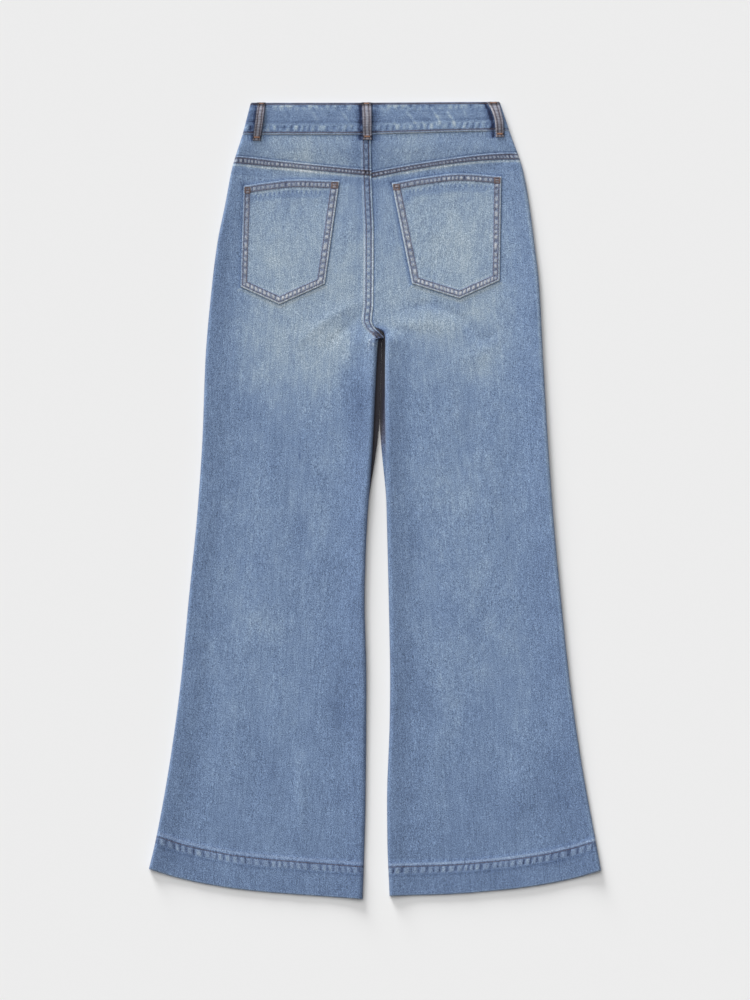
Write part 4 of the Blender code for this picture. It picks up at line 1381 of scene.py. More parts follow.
def pocket_look(x, down, side):
    look = Look(x, down)
    edges = np.stack(pocket_edges(look.x, look.down, side))
    rows = np.array([POCKET_ROWS[side][name] for name in ("left", "right", "top", "bottom")])
    shares = edges / rows[:, 1].reshape(-1, *[1] * look.x.ndim)
    nearest, inwards = np.argmin(shares, axis=0), np.min(shares, axis=0)
    distance = np.min(edges, axis=0)
    first, reach = (rows[:, 0] / rows[:, 1])[nearest], rows[:, 1][nearest]
    from_first, inside = (inwards - first) * reach, (inwards - 1.0) * reach
    on_top, on_side = nearest == 2, nearest < 2

    look.add(high=relief(look.x, look.down))
    fades = patches(look.x, look.down, POCKET_FADES)
    look.add(wash=POCKET_WASH[side] + clouds(look.x, look.down, 19, 25) + fades)

    # the border, with its fold and its rows
    fold, between, dark, within = np.moveaxis(np.array(POCKET_FOLDS[side])[nearest], -1, 0)
    look.add(high=POCKET_RAISE * (1 - smooth(1.0, 1.0 + 1.6 / reach, inwards)))
    look.line(distance - 0.7, 1.15, fold, tint=0.1)
    look.row_of_thread(from_first)
    look.row_of_thread(inside, dark=-dark)
    # the puckers between them
    zone = window(from_first, 1.0, 5.2, 0.5) * (1 - smooth(0.86, 0.98, inwards))
    along = np.where(on_side, look.down, look.x)
    pitch = np.array(POCKET_PITCHES)[nearest]
    look.add(wash=between * zone)
    look.puckers(along, pitch, 50.0 + 3.0 * nearest, zone, 0.28, np.where(on_side, 0.55, 0.75), 0.36)
    # inside the border
    look.line(inside - 2.8, 1.5, within)
    look.puckers(look.x, 6.0, 58.0, window(inside, 5.0, 9.0, 1.0) * on_top, 0.12, 0.3)
    look.add(wash=-0.2 * window(inside, 5.0, 14.0, 3.0) * on_top)
    look.add(high=-0.5 * near(distance, 1.2) ** 2)
    for x0, x1, y0, y1 in tack_boxes(side):
        spot = window(look.x, x0, x1, 0.7) * window(look.down, y0, y1, 0.7)
        blobs = 0.5 + 0.7 * COCKLE.at(look.x / 2.2, look.down / 2.6)
        look.add(wash=(0.45 * blobs - 0.3) * spot, tint=0.35 * spot)
    return look


def tack_boxes(side):
    """Where a pocket's two bar tacks are: from and to, across and down."""
    rows, top = POCKET_ROWS[side], POCKETS[side]["top"]
    for corner, name, sign in ((top[0], "left", 1.0), (top[-1], "right", -1.0)):
        near_edge, far_edge = rows[name]
        x0, x1 = sorted((corner[0] + sign * (near_edge - 0.6), corner[0] + sign * (far_edge + 0.3)))
        yield x0, x1, corner[1] + 2.0, corner[1] + rows["top"][1] + 0.2


def pocket_base(x, down, side):
    """Height of the pocket's lower face: the panel, and the mouth's small gap over it."""
    top, bottom = POCKETS[side]["top"], POCKETS[side]["bottom"]
    across = np.clip((x - top[0][0]) / (top[-1][0] - top[0][0]), 0.0, 1.0)
    share = (down - MOUTH_DOWN) / (bottom[1][1] - MOUTH_DOWN)
    mouth = POCKET_MOUTH * (1.0 - smooth(0.0, 0.2, share)) * np.sin(np.pi * across)
    return back_top(x, down, side) + GAP + mouth


def pocket_top(x, down, side):
    return pocket_base(x, down, side) + WALL + pocket_look(x, down, side).high


POCKET_COLUMNS, POCKET_LINES = 128, 158


def make_pockets():
    across = edge_dense(POCKET_COLUMNS, 0.012)
    share = edge_dense(POCKET_LINES, 0.01)[:, None]
    for side in OUTWARD:
        top, bottom = POCKETS[side]["top"], POCKETS[side]["bottom"]
        x0 = blend(top[0][0], top[-1][0], across)
        x1 = blend(bottom[0][0], bottom[-1][0], across)
        down0 = POCKET_MOUTHS[side].at("down", x0)
        down1 = np.interp(x1, *zip(*bottom))
        x, down = blend(x0, x1, share), blend(down0, down1, share)
        look = pocket_look(x, down, side)
        base = pocket_base(x, down, side)
        grids = at(x, down, base + WALL + look.high), at(x, down, base), look.wash, look.tint
        turn = 4.0 * OUTWARD[side]
        cloth("pocket_cloth_" + side, "pocket_" + side, grids, DENIM, turn=turn)


FRONT_COLUMNS = 60
FRONT_STEP = 4.5
FRONT_ROWS_FROM = 98.0  # above this the rows follow the waistband
# The strip of the fronts that shows between the legs: reaches of its shade from the left leg, the
# stretch over which the first becomes the second, and how far down it goes
SLOT_SHADE_REACHES = (34.0, 12.5)
SLOT_SHADE_NARROWS = (325.0, 415.0)
SLOT_SHADE_FROM, SLOT_SHADE_TO = 292.0, 560.0


def front_look(x, down, side):
    """The hidden front: the same cloth, less faded, with painted shadow where it shows between the
    legs, deepest beside the left one."""
    look = Look(x, down)
    look.add(wash=washed(look.x, look.down, side) - 0.06)
    above_row = hem_distance(look.x, look.down, side) - HEM_DEPTH[side]
    look.add(wash=0.2 * bump(above_row - 1.7, 1.6) - 0.2 * bump(above_row, 1.2))
    # painted shadow between the legs, deepest beside the left leg; the tint turns it near black
    inside = look.x - INNER_EDGES.at("left", look.down)
    reach = blend(*SLOT_SHADE_REACHES, smooth(*SLOT_SHADE_NARROWS, look.down))
    dark = near(inside - 2.5, reach) * window(look.down, SLOT_SHADE_FROM, SLOT_SHADE_TO, 10.0)
    dark = dark * smooth(-9.0, -3.0, inside)
    look.add(wash=-1.7 * dark, tint=0.9 * smooth(0.0, 0.5, dark))
    return look


def make_fronts():
    for side in OUTWARD:
        hem_end = float(HEM_EDGE.at(side, 1.0))
        nominal = spaced(
            (FRONT_ROWS_FROM, 285.0, FRONT_STEP),
            (285.0, SLOT_FROM, 3.0),
            (SLOT_FROM, hem_end - 50, FRONT_STEP),
            (hem_end - 50, hem_end, 2.0),
        )
        starts = spaced((0.0, 0.9, 0.1))
        columns = []
        for across in edge_dense(FRONT_COLUMNS, 0.01):
            first = float(band_bottom(side, across)) + GAP
            top_rows = blend(first, leg_down(side, FRONT_ROWS_FROM, across), starts)
            down = np.concatenate([top_rows, leg_down(side, nominal, across)])
            meeting = FRONT_CENTRE.at("x", down) + OUTWARD[side] * GAP / 2
            opened = smooth(FRONT_OPENS_FROM, FRONT_OPENS_TO, down)
            inner_x = blend(meeting, INNER_EDGES.at(side, down), opened)
            x = blend(OUTER_EDGES.at(side, down), inner_x, across)
            hem = hem_share(hem_distance(x, down, side), side)
            base = underside(x, down, side)
            upper = at(x, down, base + WALL + HEM_FOLD * hem)
            columns.append((at(x, down, base), upper, front_look(x, down, side)))
        cloth(
            "leg_front_" + side,
            "front_" + side,
            joined(columns),
            DENIM,
            step=3,
            turn=-3.5 * OUTWARD[side],
            face_down=True,
        )


# Creases of the waistband, in the legs' terms
BAND_CREASES = (
    (1.6, 0.45, -43, 13, -36, 22, -30, 31),
    (1.6, 0.45, 41, 13, 48, 22, 53, 31),
    (1.8, 0.5, 73, 10, 80, 20, 86, 34),
    (1.8, 0.5, 93, 14, 100, 24, 105, 35),
    (1.6, 0.35, 60, 24, 64, 34),
    (1.6, 0.3, 24, 20, 26, 34),
    (1.8, 0.3, 112, 8, 118, 20),
    (2.0, 0.25, -80, 12, -74, 26),
    (2.2, -0.25, -112, 10, -110, 24),
    (2.0, -0.2, -60, 9, -58, 22),
)
BAND_FADES = (
    (-100, 17, 30, 9, 0, 0.10),
    (-64, 21, 26, 10, 0, -0.03),
    (60, 18, 40, 10, 0, 0.05),
    (118, 20, 18, 10, 0, 0.03),
    (-163, 21, 7, 20, 0, -0.3),
)
# Rows of stitches: distance down from the edge, and the row's start and end
BAND_ROWS = {"top": (1.9, -157.0, 160.0), "bottom": (-2.7, -163.0, 167.0)}
BAND_WASH = 0.42

# Painted shadow beside the belt loops, on partly darker unfaded cloth: side of the loop, distance
# from it, reach and wash
SHADOW_BESIDE_LOOPS = {
    "belt_loop_left": (
        ("left", 1.0, 1.9, -0.75),
        ("left", 4.5, 3.0, -0.26),
        ("right", 1.4, 1.5, 0.12),
        ("right", 4.6, 2.4, -0.14),
    ),
    "belt_loop_centre": (
        ("left", 1.7, 2.5, -0.95),
        ("left", 6.0, 3.5, -0.38),
        ("right", 0.6, 1.4, -0.30),
        ("right", 4.2, 3.8, -0.38),
        ("right", 9.5, 3.0, -0.14),
    ),
    "belt_loop_right": (
        ("left", 3.4, 3.0, -1.05),
        ("left", 8.0, 3.5, -0.20),
        ("right", 0.8, 1.3, -0.30),
    ),
}


def add_beside_loops(look):
    # painted shadow, with the unfaded cloth under it, beside each loop
    for name, lines in SHADOW_BESIDE_LOOPS.items():
        table = LOOPS[name]
        along = window(look.down, table.places[0] + 1.0, table.places[-1] + 1.0, 1.6)
        for side, place, reach, wash in lines:
            outside = (look.x - table.at(side, look.down)) * OUTWARD[side]
            look.line(outside - place, reach, wash, share=along)


def band_look(x, down):
    look = Look(x, down)
    below, above = band_distances(look.x, look.down)
    folds = creases(look.x, look.down, BAND_CREASES)
    look.add(wash=BAND_WASH + patches(look.x, look.down, BAND_FADES))
    look.add(wash=0.12 * CLOUD.at(look.x / 5.2, look.down / 5.5))
    look.add(wash=0.07 * FADE.at(look.x / 12, look.down / 7))
    # the wash that follows the creases is partly their fading and partly painted light and shade
    look.add(high=0.12 * RIPPLE.at(look.x / 15, look.down / 12) + folds, wash=0.8 * folds)
    # the rows of stitches and the folded edges
    look.row_of_thread(above + BAND_ROWS["bottom"][0], dark=0.55)
    look.row_of_thread(below - BAND_ROWS["top"][0], dark=0.42)
    look.line(above - 0.3, 1.25, 0.66, tint=0.15)
    look.line(below - 0.9, 1.2, -0.42, tint=0.3)
    # roping over the lower row
    zone = window(above, 4.4, 11.4, 1.2)
    look.add(wash=0.06 * window(above, 3.5, 14.0, 1.5))
    look.puckers(look.x - 0.15 * above, 8.7, 70.0, zone, 0.3, 0.36)
    look.add(wash=0.3 * zone * COCKLE.at(look.x / 4.0, look.down / 6.5))
    look.line(above - 12.4, 1.6, 0.12)
    look.line(above - 16.3, 1.9, -0.2)
    # blotches and puckers under the upper row
    blotches = COCKLE.at(look.x / 5.6, look.down / 9.0)
    look.add(wash=(0.06 - 0.62 * blotches) * window(below, 3.0, 5.6, 0.9))
    look.puckers(look.x, 8.5, 76.0, window(below, 3.6, 9.0, 1.2), 0.16, 0.2)
    look.line(below - 7.0, 2.4, 0.16)
    add_beside_loops(look)
    return look


def band_distances(x, down):
    """How far below the band's top and above its bottom a place is."""
    return down - BAND_LINES.at("top", x), BAND_LINES.at("bottom", x) - down


def band_height(x, down):
    """Height of the waistband's back wall with its creases and rounded edges."""
    return band_top(x, down) + band_look(x, down).high - band_rounding(*band_distances(x, down))


def band_rounding(below, above):
    """How much the band's folded edges fall away."""
    return 0.85 * near(below, 2.0) ** 2 + 0.55 * near(above, 1.6) ** 2


BAND_BACK_COLUMNS, BAND_FRONT_COLUMNS, BAND_EDGE_COLUMNS = 400, 40, 15
BAND_FRONT_TO = 0.97  # share of the front's width that its own columns take up
BAND_HALF = 160.0  # half the band's width, near enough to read its lines by


def band_columns():
    """Places round the waistband from one end at the centre front to the other."""
    backs = np.linspace(0.0, 1.0, BAND_BACK_COLUMNS + 2)[1:-1]
    stretches = (
        ("front", "left", np.linspace(0.0, BAND_FRONT_TO, BAND_FRONT_COLUMNS)),
        ("edge", "left", np.linspace(-90, 90, BAND_EDGE_COLUMNS)),
        ("back", "", backs),
        ("edge", "right", np.linspace(90, -90, BAND_EDGE_COLUMNS)),
        ("front", "right", np.linspace(BAND_FRONT_TO, 0.0, BAND_FRONT_COLUMNS)),
    )
    return [(kind, side, value) for kind, side, values in stretches for value in values]


def band_back(x, down, inset):
    look = band_look(x, down)
    height = band_top(x, down)
    return at(x, down, height + look.high - inset), at(x, down, height - BAND_WALL + inset), look


def band_front(x, down, above, inset):
    look = Look(x, down)
    look.add(wash=BAND_WASH + 0.08 * CLOUD.at(x / 7, down / 8) - 0.2 * bump(above - 2.1, 0.9))
    low = np.full(down.shape, WAIST_LIFT)
    return at(x, down, low + inset), at(x, down, low + BAND_WALL - inset), look


def band_edge(core, down, inset, side, angle):
    look = band_look(core, down)
    turn = math.radians(angle)
    crown = band_top(core, down) + look.high * max(0.0, math.sin(turn))
    middle, height = (WAIST_LIFT + crown) / 2, (crown - WAIST_LIFT) / 2
    reach = OUTWARD[side] * math.cos(turn)
    outer = at(core + reach * (ROLL - inset), down, middle + (height - inset) * math.sin(turn))
    inside_x = core + reach * (ROLL - BAND_WALL + inset)
    inside_z = middle + (height - BAND_WALL + inset) * math.sin(turn)
    return outer, at(inside_x, down, inside_z), look


def make_waistband():
    shares = spaced((0.0, 0.06, 0.012), (0.06, 0.94, 0.021), (0.94, 1.0, 0.012))
    columns = []
    for kind, side, value in band_columns():
        if kind == "back":
            guess = blend(-BAND_HALF, BAND_HALF, value)
        else:
            guess = OUTWARD[side] * BAND_HALF * (1.0 if kind == "edge" else value)
        top, bottom = float(BAND_LINES.at("top", guess)), float(BAND_LINES.at("bottom", guess))
        down = blend(top, bottom, shares)
        inset = band_rounding(down - top, bottom - down)
        left, right = OUTER_EDGES.at("left", down) + ROLL, OUTER_EDGES.at("right", down) - ROLL
        edge = left if side == "left" else right
        if kind == "back":
            column = band_back(blend(left, right, value), down, inset)
        elif kind == "front":
            x = blend(OUTWARD[side] * GAP / 2, edge, value)
            column = band_front(x, down, bottom - down, inset)
        else:
            column = band_edge(edge, down, inset, side, value)
        columns.append(column)
    grids = joined(columns)
    cloth("waistband_cloth", "waistband", grids, BAND_DENIM, step=4, turn=90.0)


# --------------------
# Belt loops
# --------------------

LOOP_COLUMNS, LOOP_LINES = 23, 74
STRIP_MIDDLE, STRIP_HALF = -10.0, 8.0  # the centre seam's strip under the centre loop
LOOP_ROWS = (0.27, 0.73)  # shares across a loop of its two rows of stitches
# Painted shade of a loop's left and right edge, as wash; on the right loop's left edge it is painted
# light
LOOP_EDGE_SHADING = {
    "belt_loop_left": (-1.5, -1.4),
    "belt_loop_centre": (-1.2, -0.8),
    "belt_loop_right": (0.55, -0.7),
    "belt_loop_front_left": (-1.0, -1.0),
    "belt_loop_front_right": (-1.0, -1.0),
}


def loop_facing(name):
    """1 for a loop of the back, which faces up, and -1 for one of the front."""
    return -1.0 if "front" in name else 1.0


def back_of_waist(x, down):
    """Height of what a back loop is sewn to."""
    edge = BAND_LINES.at("bottom", x)
    strip = np.where(np.abs(x - STRIP_MIDDLE) < STRIP_HALF, STRIP_RAISE, 0.0)
    left, right = (back_top(x, np.maximum(down, edge), side) for side in OUTWARD)
    yoke = np.where(x < CENTRE_BACK, left, right) + strip
    band = band_top(x, np.minimum(down, BAND_DOWN))
    return blend(band, yoke, smooth(edge + 0.5, edge + 2.2, down))


def front_of_waist(x, down):
    return np.full(np.broadcast(x, down).shape, WAIST_LIFT)


def loop_surface(name, across, along):
    """A belt loop's place and heights at shares across and along it."""
    table = LOOPS[name]
    facing = loop_facing(name)
    base, stand = (
        (front_of_waist, FRONT_LOOP_STAND) if facing < 0 else (back_of_waist, LOOP_STAND)
    )
    across, along = np.broadcast_arrays(np.asarray(across, float), np.asarray(along, float))
    down = blend(table.places[0], table.places[-1], along)
    left, right = table.at("left", down), table.at("right", down)
    x = blend(left, right, across)
    wall = blend(LOOP_WALL, LOOP_END, LOOP_PROFILE.at("folded", along))
    low = base(x, down) + facing * (GAP + stand * LOOP_PROFILE.at("stand", along))

    look = Look(x, down)
    width, tall = right - left, table.places[-1] - table.places[0]
    from_edge = np.minimum(across, 1 - across) * width
    from_end = np.minimum(along, 1 - along) * tall
    from_low, from_high = (1 - along) * tall, along * tall
    look.add(high=-LOOP_EDGE * near(from_edge, 1.4) ** 1.5 - 0.6 * near(from_end, 1.2) ** 2)
    look.add(wash=0.8 + 0.12 * CLOUD.at(x / 3.1, down / 4.4), tint=0.66)
    wander = 0.04 * PUCKER.at(along * 6, 90.0 + len(name))
    for row in LOOP_ROWS:
        look.row_of_thread((across - row - wander) * width, dark=0.95, tinted=0.25)
    # painted shade along the loop's edges, and painted light on the right loop's left edge
    for distance, wash in zip((across * width, (1 - across) * width), LOOP_EDGE_SHADING[name]):
        look.line(distance, 1.1, wash, tint=0.1)
    look.line(from_edge - 1.3, 0.8, 0.2)
    look.puckers(down, 3.6, 95.0, window(from_edge, 1.0, width, 0.6), 0.07, 0.2)
    look.line(from_low - 0.7, 0.9, 0.5, tint=0.15)
    look.line(from_low - 3.9, 1.9, -1.0, tint=0.3)
    look.line(from_high - 1.6, 1.6, -0.9, tint=0.3)
    return x, down, low + facing * (wall + look.high), low, look


def make_loops():
    across = edge_dense(LOOP_COLUMNS, 0.03)
    along = edge_dense(LOOP_LINES, 0.012)[:, None]
    for name in LOOPS:
        x, down, top, low, look = loop_surface(name, across, along)
        grids = at(x, down, top), at(x, down, low), look.wash, look.tint
        piece = name.replace("belt_loop", "loop_cloth")
        face_down = loop_facing(name) < 0
        cloth(piece, name, grids, LOOP_DENIM, step=3, face_down=face_down)


# --------------------
# Thread
# --------------------

STITCH_LENGTH = 2.5
STITCH_GAP = 0.75
STITCH_START = 0.12  # share of a pitch before the first stitch
THREAD_RADIUS = 0.27
TACK_RADIUS = 0.24
TACK_PITCH = 0.42
TACK_ZIGZAG = 0.12
TACK_RISE = 0.12
UNDER_THREAD = 0.31  # height of a thread's middle line on the surface, just clear of it
SUNK = 0.02  # how deep a thread's middle line lies in the cloth's lower face
THREAD_SIDES = 6
# Rings of a stitch: place along it, share of its radius, height over its ends
STITCH_RINGS = (
    (-0.5, 0.55, -0.75),
    (-0.36, 1.0, -0.1),
    (0.0, 1.05, 0.1),
    (0.36, 1.0, -0.1),
    (0.5, 0.55, -0.75),
)


def stitches(name, lines):
    """One mesh of all the stitches of some lines. A line is a row of points (x, down, z) and
    which way it faces, 1 up or -1 down."""
    threads = []
    for points, facing in lines:
        steps = np.hypot(np.diff(points[:, 0]), np.diff(points[:, 1]))
        length = np.concatenate([[0.0], np.cumsum(steps)])
        count = max(1, int(length[-1] / (STITCH_LENGTH + STITCH_GAP)))
        first = (np.arange(count) + STITCH_START) * length[-1] / count
        starts, ends = (
            np.stack([np.interp(place, length, values) for values in points.T], axis=1)
            for place in (first, first + STITCH_LENGTH)
        )
        threads.append((starts, ends, np.full(count, facing)))
    thread_mesh(name, threads, THREAD_RADIUS, BROWN_THREAD)


def thread_mesh(name, threads, radius, material):
    """Short threads between starts and ends, joined in one mesh."""
    starts, ends, facings = (np.concatenate(parts) for parts in zip(*threads))
    starts, ends = to_metres(starts), to_metres(ends)
    middle, span = (starts + ends) / 2, ends - starts
    length = np.linalg.norm(span, axis=1, keepdims=True)
    forward = span / np.maximum(length, 1e-9)
    up = np.array([0.0, 0.0, 1.0]) * facings[:, None]
    across = np.cross(up, forward)
    across /= np.linalg.norm(across, axis=1, keepdims=True)
    over = np.cross(forward, across)
    over *= np.sign((over * up).sum(axis=1, keepdims=True))
    radius = radius * MM
    rings = []
    for place, size, rise in STITCH_RINGS:
        for i in range(THREAD_SIDES):
            turn = 2 * math.pi * i / THREAD_SIDES
            offset = radius * size * (math.cos(turn) * across + math.sin(turn) * over)
            rings.append(middle + place * span + offset + rise * radius * over)
    points = np.stack(rings, axis=1)
    template = []
    for ring in range(len(STITCH_RINGS) - 1):
        for i in range(THREAD_SIDES):
            j = (i + 1) % THREAD_SIDES
            a, b = ring * THREAD_SIDES, (ring + 1) * THREAD_SIDES
            template.append([a + i, b + i, b + j, a + j])
    last = (len(STITCH_RINGS) - 1) * THREAD_SIDES
    template.append(list(range(THREAD_SIDES)))
    template.append([last + i for i in reversed(range(THREAD_SIDES))])
    count, size = points.shape[:2]
    faces = [[n * size + i for i in face] for n in range(count) for face in template]
    data = new_mesh(name, points.reshape(-1, 3), faces)
    data.shade_smooth()
    add_piece(name, data, material)


def on_surface(xs, downs, surface, rise=0.0):
    xs, downs = np.broadcast_arrays(np.asarray(xs, float), np.asarray(downs, float))
    return at(xs, downs, surface(xs, downs) + rise)


def under_front(x, down, side):
    """Height of a thread under the front."""
    return np.maximum(underside(x, down, side) - SUNK, UNDER_THREAD)


def sew_yokes():
    across = np.linspace(0.03, 1.0, 160)
    for side in OUTWARD:
        lines = []
        for row in (YOKE_ROW, YOKE_SECOND_ROW.at(side, across)):
            down = YOKE_SEAM.at(side, across) + row
            outer, inner = OUTER_EDGES.at(side, down), INNER_EDGES.at(side, down)
            x = blend(outer, inner + OUTWARD[side] * 0.5, across)
            lines.append((on_surface(x, down, partial(panel_top, side=side)), 1.0))
        stitches("stitches_yoke_" + side, lines)


def sew_centre():
    lines = []
    for row in CENTRE_ROWS:
        for start, end, count, surface in (
            (93.0, 296.0, 140, panel_top),
            (50.5, 88.0, 40, yoke_top),
        ):
            downs = np.linspace(start, end, count)
            x = INNER_EDGES.at("left", downs) - row
            lines.append((on_surface(x, downs, partial(surface, side="left")), 1.0))
    stitches("stitches_centre_back", lines)


def sew_hems():
    across = np.linspace(0.02, 0.985, 200)
    for side in OUTWARD:
        down = HEM_EDGE.at(side, across) - HEM_DEPTH[side]
        x = leg_x(side, down, across)
        upper = on_surface(x, down, partial(panel_top, side=side))
        lower = on_surface(x, down, partial(under_front, side=side))
        stitches("stitches_hem_" + side, [(upper, 1.0), (lower, -1.0)])


def pocket_row(side, which):
    """Points of one row of stitches round a pocket, moved in from its edges."""
    rows = {name: distances[which] for name, distances in POCKET_ROWS[side].items()}
    top, bottom = POCKETS[side]["top"], POCKETS[side]["bottom"]

    def at_sides(down):
        left = np.interp(down, (top[0][1], bottom[0][1]), (top[0][0], bottom[0][0]))
        right = np.interp(down, (top[-1][1], bottom[-1][1]), (top[-1][0], bottom[-1][0]))
        return left + rows["left"], right - rows["right"]

    lift = rows["bottom"] * bottom_lean(side)
    xs = np.linspace(at_sides(top[0][1])[0], at_sides(top[-1][1])[1], 60)
    yield xs, POCKET_MOUTHS[side].at("down", xs) + rows["top"]
    ends = []
    for end in (0, -1):
        low = bottom[end][1] - 0.6 * lift
        downs = np.linspace(top[end][1] + rows["top"], low, 60)
        yield at_sides(downs)[end], downs
        ends.append(at_sides(low)[end])
    xs = np.linspace(*ends, 90)
    yield xs, np.interp(xs, *zip(*bottom)) - lift


def sew_pockets():
    for side in OUTWARD:
        lines = []
        for which in (0, 1):
            for xs, downs in pocket_row(side, which):
                lines.append((on_surface(xs, downs, partial(pocket_top, side=side)), 1.0))
        stitches("stitches_pocket_" + side, lines)


def sew_waistband():
    lines = []
    for edge, (inset, row_start, row_end) in BAND_ROWS.items():
        for start, end, count, surface, rise, facing in (
            (row_start, row_end, 300, band_height, 0.0, 1.0),
            (-150.0, -4.0, 100, front_of_waist, -SUNK, -1.0),
            (4.0, 150.0, 100, front_of_waist, -SUNK, -1.0),
        ):
            xs = np.linspace(start, end, count)
            downs = BAND_LINES.at(edge, xs) + inset
            lines.append((on_surface(xs, downs, surface, rise), facing))
    stitches("stitches_waistband", lines)


def sew_loops():
    along = np.linspace(0.06, 0.93, 40)
    for name in LOOPS:
        lines = []
        wander = 0.05 * PUCKER.at(along * 6, 90.0 + len(name))
        for row in LOOP_ROWS:
            x, down, top, _, _ = loop_surface(name, row + wander, along)
            lines.append((at(x, down, top), loop_facing(name)))
        stitches(name.replace("belt_loop", "stitches_loop"), lines)


def tack(x, down, along, wide, surface, lean=0.0, facing=1.0):
    """Starts and ends of a bar tack's close threads: a bar along x, wide across it."""
    count = max(4, int(along / TACK_PITCH))
    places = np.linspace(-along / 2, along / 2, count)
    zigzag = np.where(np.arange(count) % 2 == 0, TACK_ZIGZAG, -TACK_ZIGZAG)
    turn = math.radians(lean)
    threads = []
    for end in (-1, 1):
        u, v = places + end * zigzag, np.full(count, end * wide / 2)
        xs = x + u * math.cos(turn) - v * math.sin(turn)
        downs = down + u * math.sin(turn) + v * math.cos(turn)
        threads.append(on_surface(xs, downs, surface, TACK_RISE * facing))
    return *threads, np.full(count, facing)


def loop_top(x, down, name):
    """Height of a loop's outer face at a place on it."""
    table = LOOPS[name]
    along = (down - table.places[0]) / (table.places[-1] - table.places[0])
    left, right = table.at("left", down), table.at("right", down)
    across = (x - left) / (right - left)
    return loop_surface(name, np.clip(across, 0.0, 1.0), np.clip(along, 0.0, 1.0))[2]


def sew_loop_tacks():
    for name, table in LOOPS.items():
        tacks = []
        surface = partial(loop_top, name=name)
        for down, wide, share in (
            (table.places[0] + 1.5, 1.6, 0.5),
            (table.places[-1] - 3.9, 2.2, 0.6),
        ):
            left, right = float(table.at("left", down)), float(table.at("right", down))
            middle, along = (left + right) / 2, (right - left) * share
            tacks.append(tack(middle, down, along, wide, surface, facing=loop_facing(name)))
        piece = name.replace("belt_loop", "tacks_loop")
        thread_mesh(piece, tacks, TACK_RADIUS, TACK_THREAD)


def sew_pocket_tacks():
    for side in OUTWARD:
        surface = partial(pocket_top, side=side)
        tacks = []
        for x0, x1, y0, y1 in tack_boxes(side):
            middle_x, middle_y = (x0 + x1) / 2, (y0 + y1) / 2
            for down in (y0, middle_y, y1):
                tacks.append(tack(middle_x, down, x1 - x0 + 0.6, 1.6, surface))
            for x in (x0, x1):
                tacks.append(tack(x, middle_y, y1 - y0 - 0.8, 2.3, surface, lean=90.0))
        thread_mesh("tacks_pocket_" + side, tacks, TACK_RADIUS, POCKET_TACK_THREAD)


FLY_ROWS = (34.0, 40.5)  # distances of the fly's two rows from the centre front
FLY_TURNS = 150.0  # where they turn in


def sew_fly():
    """Fly topstitching on the hidden front: two rows down the left front that turn in."""
    lines = []
    for inset in FLY_ROWS:
        straight = np.linspace(46.0, FLY_TURNS, 60)
        turn = np.linspace(0.0, 1.0, 40)
        xs = np.concatenate([np.full(60, -inset), -inset + (inset - 2.0) * turn**1.6])
        turned = FLY_TURNS + (inset + 16.0) * np.sin(turn * math.pi / 2)
        downs = np.concatenate([straight, turned])
        lines.append((on_surface(xs, downs, partial(under_front, side="left")), -1.0))
    centre = np.linspace(46.0, 285.0, 120)
    for side in OUTWARD:
        xs = FRONT_CENTRE.at("x", centre) + OUTWARD[side] * 2.2
        lines.append((on_surface(xs, centre, partial(under_front, side=side)), -1.0))
    stitches("stitches_fly", lines)


def finish_button():
    """The button keeps its solid's form and gets its metal."""
    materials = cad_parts["button"].data.materials
    materials.clear()
    materials.append(button_metal())


# --------------------
# Floor, light and camera, in metres
# --------------------

CAMERA_HEIGHT = 5.0
SENSOR = 36.0
SEEN_HEIGHT = 1.28  # what the height of the picture takes in, at the cloth's upper side
CLOTH_LEVEL = 7.0 * MM
PHOTO_CENTRE = (0.0, 0.0009)
FLOOR_HALF = 6.0
FLOOR_LEVEL = -0.0003
FLOOR_GREY = 0.845
WHITE = (1.0, 1.0, 1.0, 1.0)

# Soft lights: tilt from overhead and compass angle from +X, in degrees, the angle that the light
# fills, and its share of the light on the floor. The broad one is a large softbox up and to the
# left. The low one comes from beyond the waist and draws the shadows below the hems.
SOFT_LIGHTS = {
    "softbox": {"tilt": 28, "compass": 123, "fills": 66, "share": 0.63},
    "low": {"tilt": 75, "compass": 112, "fills": 22, "share": 0.32},
}
ROOM_LIGHT = 0.05
FLOOR_LIGHT = 0.998


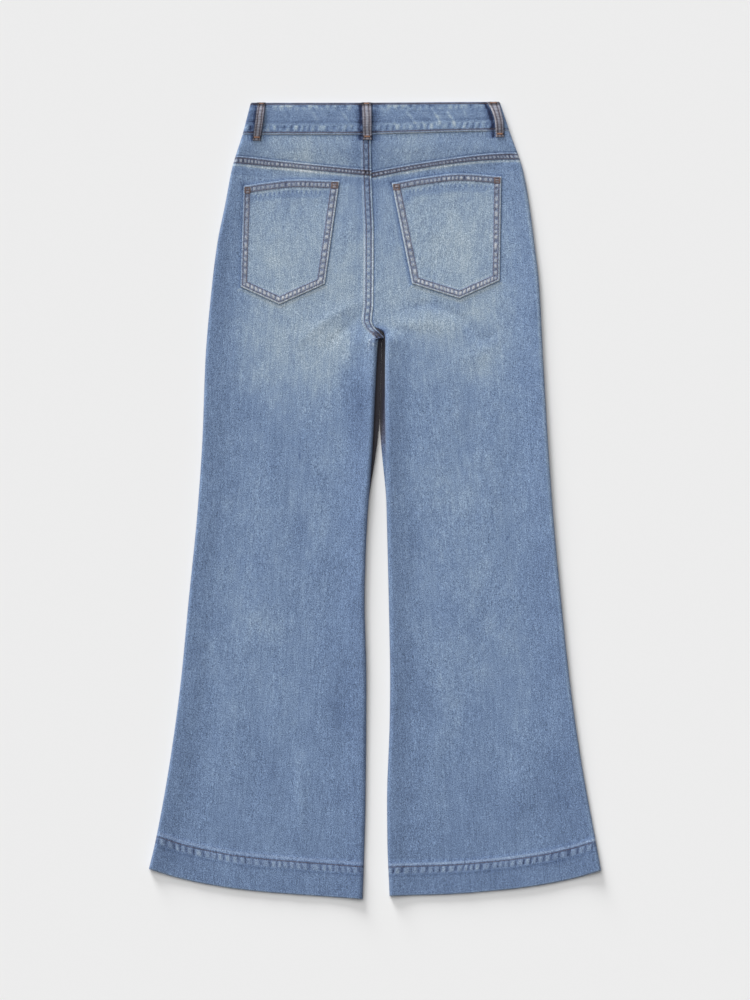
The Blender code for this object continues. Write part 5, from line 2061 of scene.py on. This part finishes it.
def make_floor():
    corners = [(-1, -1, 0), (1, -1, 0), (1, 1, 0), (-1, 1, 0)]
    data = new_mesh("floor", np.array(corners, float) * FLOOR_HALF, [[0, 1, 2, 3]])
    floor = bpy.data.objects.new("floor", data)
    bpy.context.scene.collection.objects.link(floor)
    floor.location.z = FLOOR_LEVEL
    nodes = Nodes("floor")
    grey = (FLOOR_GREY, FLOOR_GREY, FLOOR_GREY, 1.0)
    nodes.fill(nodes.shader, Base_Color=grey, Roughness=0.9, Specular_IOR_Level=0.0)
    data.materials.append(nodes.material)


def make_lights():
    world = bpy.data.worlds.new("studio")
    bpy.context.scene.world = world
    world.use_nodes = True
    background = world.node_tree.nodes["Background"]
    background.inputs["Color"].default_value = WHITE
    background.inputs["Strength"].default_value = ROOM_LIGHT * FLOOR_LIGHT
    for name, light in SOFT_LIGHTS.items():
        tilt, compass = math.radians(light["tilt"]), math.radians(light["compass"])
        data = bpy.data.lights.new(name, "SUN")
        data.energy = math.pi * FLOOR_LIGHT * light["share"] / math.cos(tilt)
        data.angle = math.radians(light["fills"])
        lamp = bpy.data.objects.new(name, data)
        bpy.context.scene.collection.objects.link(lamp)
        flat = -math.sin(tilt)
        shines = Vector((flat * math.cos(compass), flat * math.sin(compass), -math.cos(tilt)))
        lamp.rotation_euler = shines.to_track_quat("-Z", "Y").to_euler()


def make_camera():
    data = bpy.data.cameras.new("camera")
    data.sensor_fit = "VERTICAL"
    data.sensor_height = SENSOR
    data.lens = SENSOR * (CAMERA_HEIGHT - CLOTH_LEVEL) / SEEN_HEIGHT
    data.clip_start, data.clip_end = 0.05, 50.0
    camera = bpy.data.objects.new("camera", data)
    bpy.context.scene.collection.objects.link(camera)
    camera.location = (*PHOTO_CENTRE, CAMERA_HEIGHT)
    bpy.context.scene.camera = camera
    bpy.context.scene.view_settings.view_transform = "Standard"


def main():
    make_camera()
    make_backs()
    make_yokes()
    make_pockets()
    make_fronts()
    make_waistband()
    make_loops()
    sew_yokes()
    sew_centre()
    sew_hems()
    sew_pockets()
    sew_waistband()
    sew_loops()
    sew_loop_tacks()
    sew_pocket_tacks()
    sew_fly()
    finish_button()
    make_floor()
    make_lights()


main()
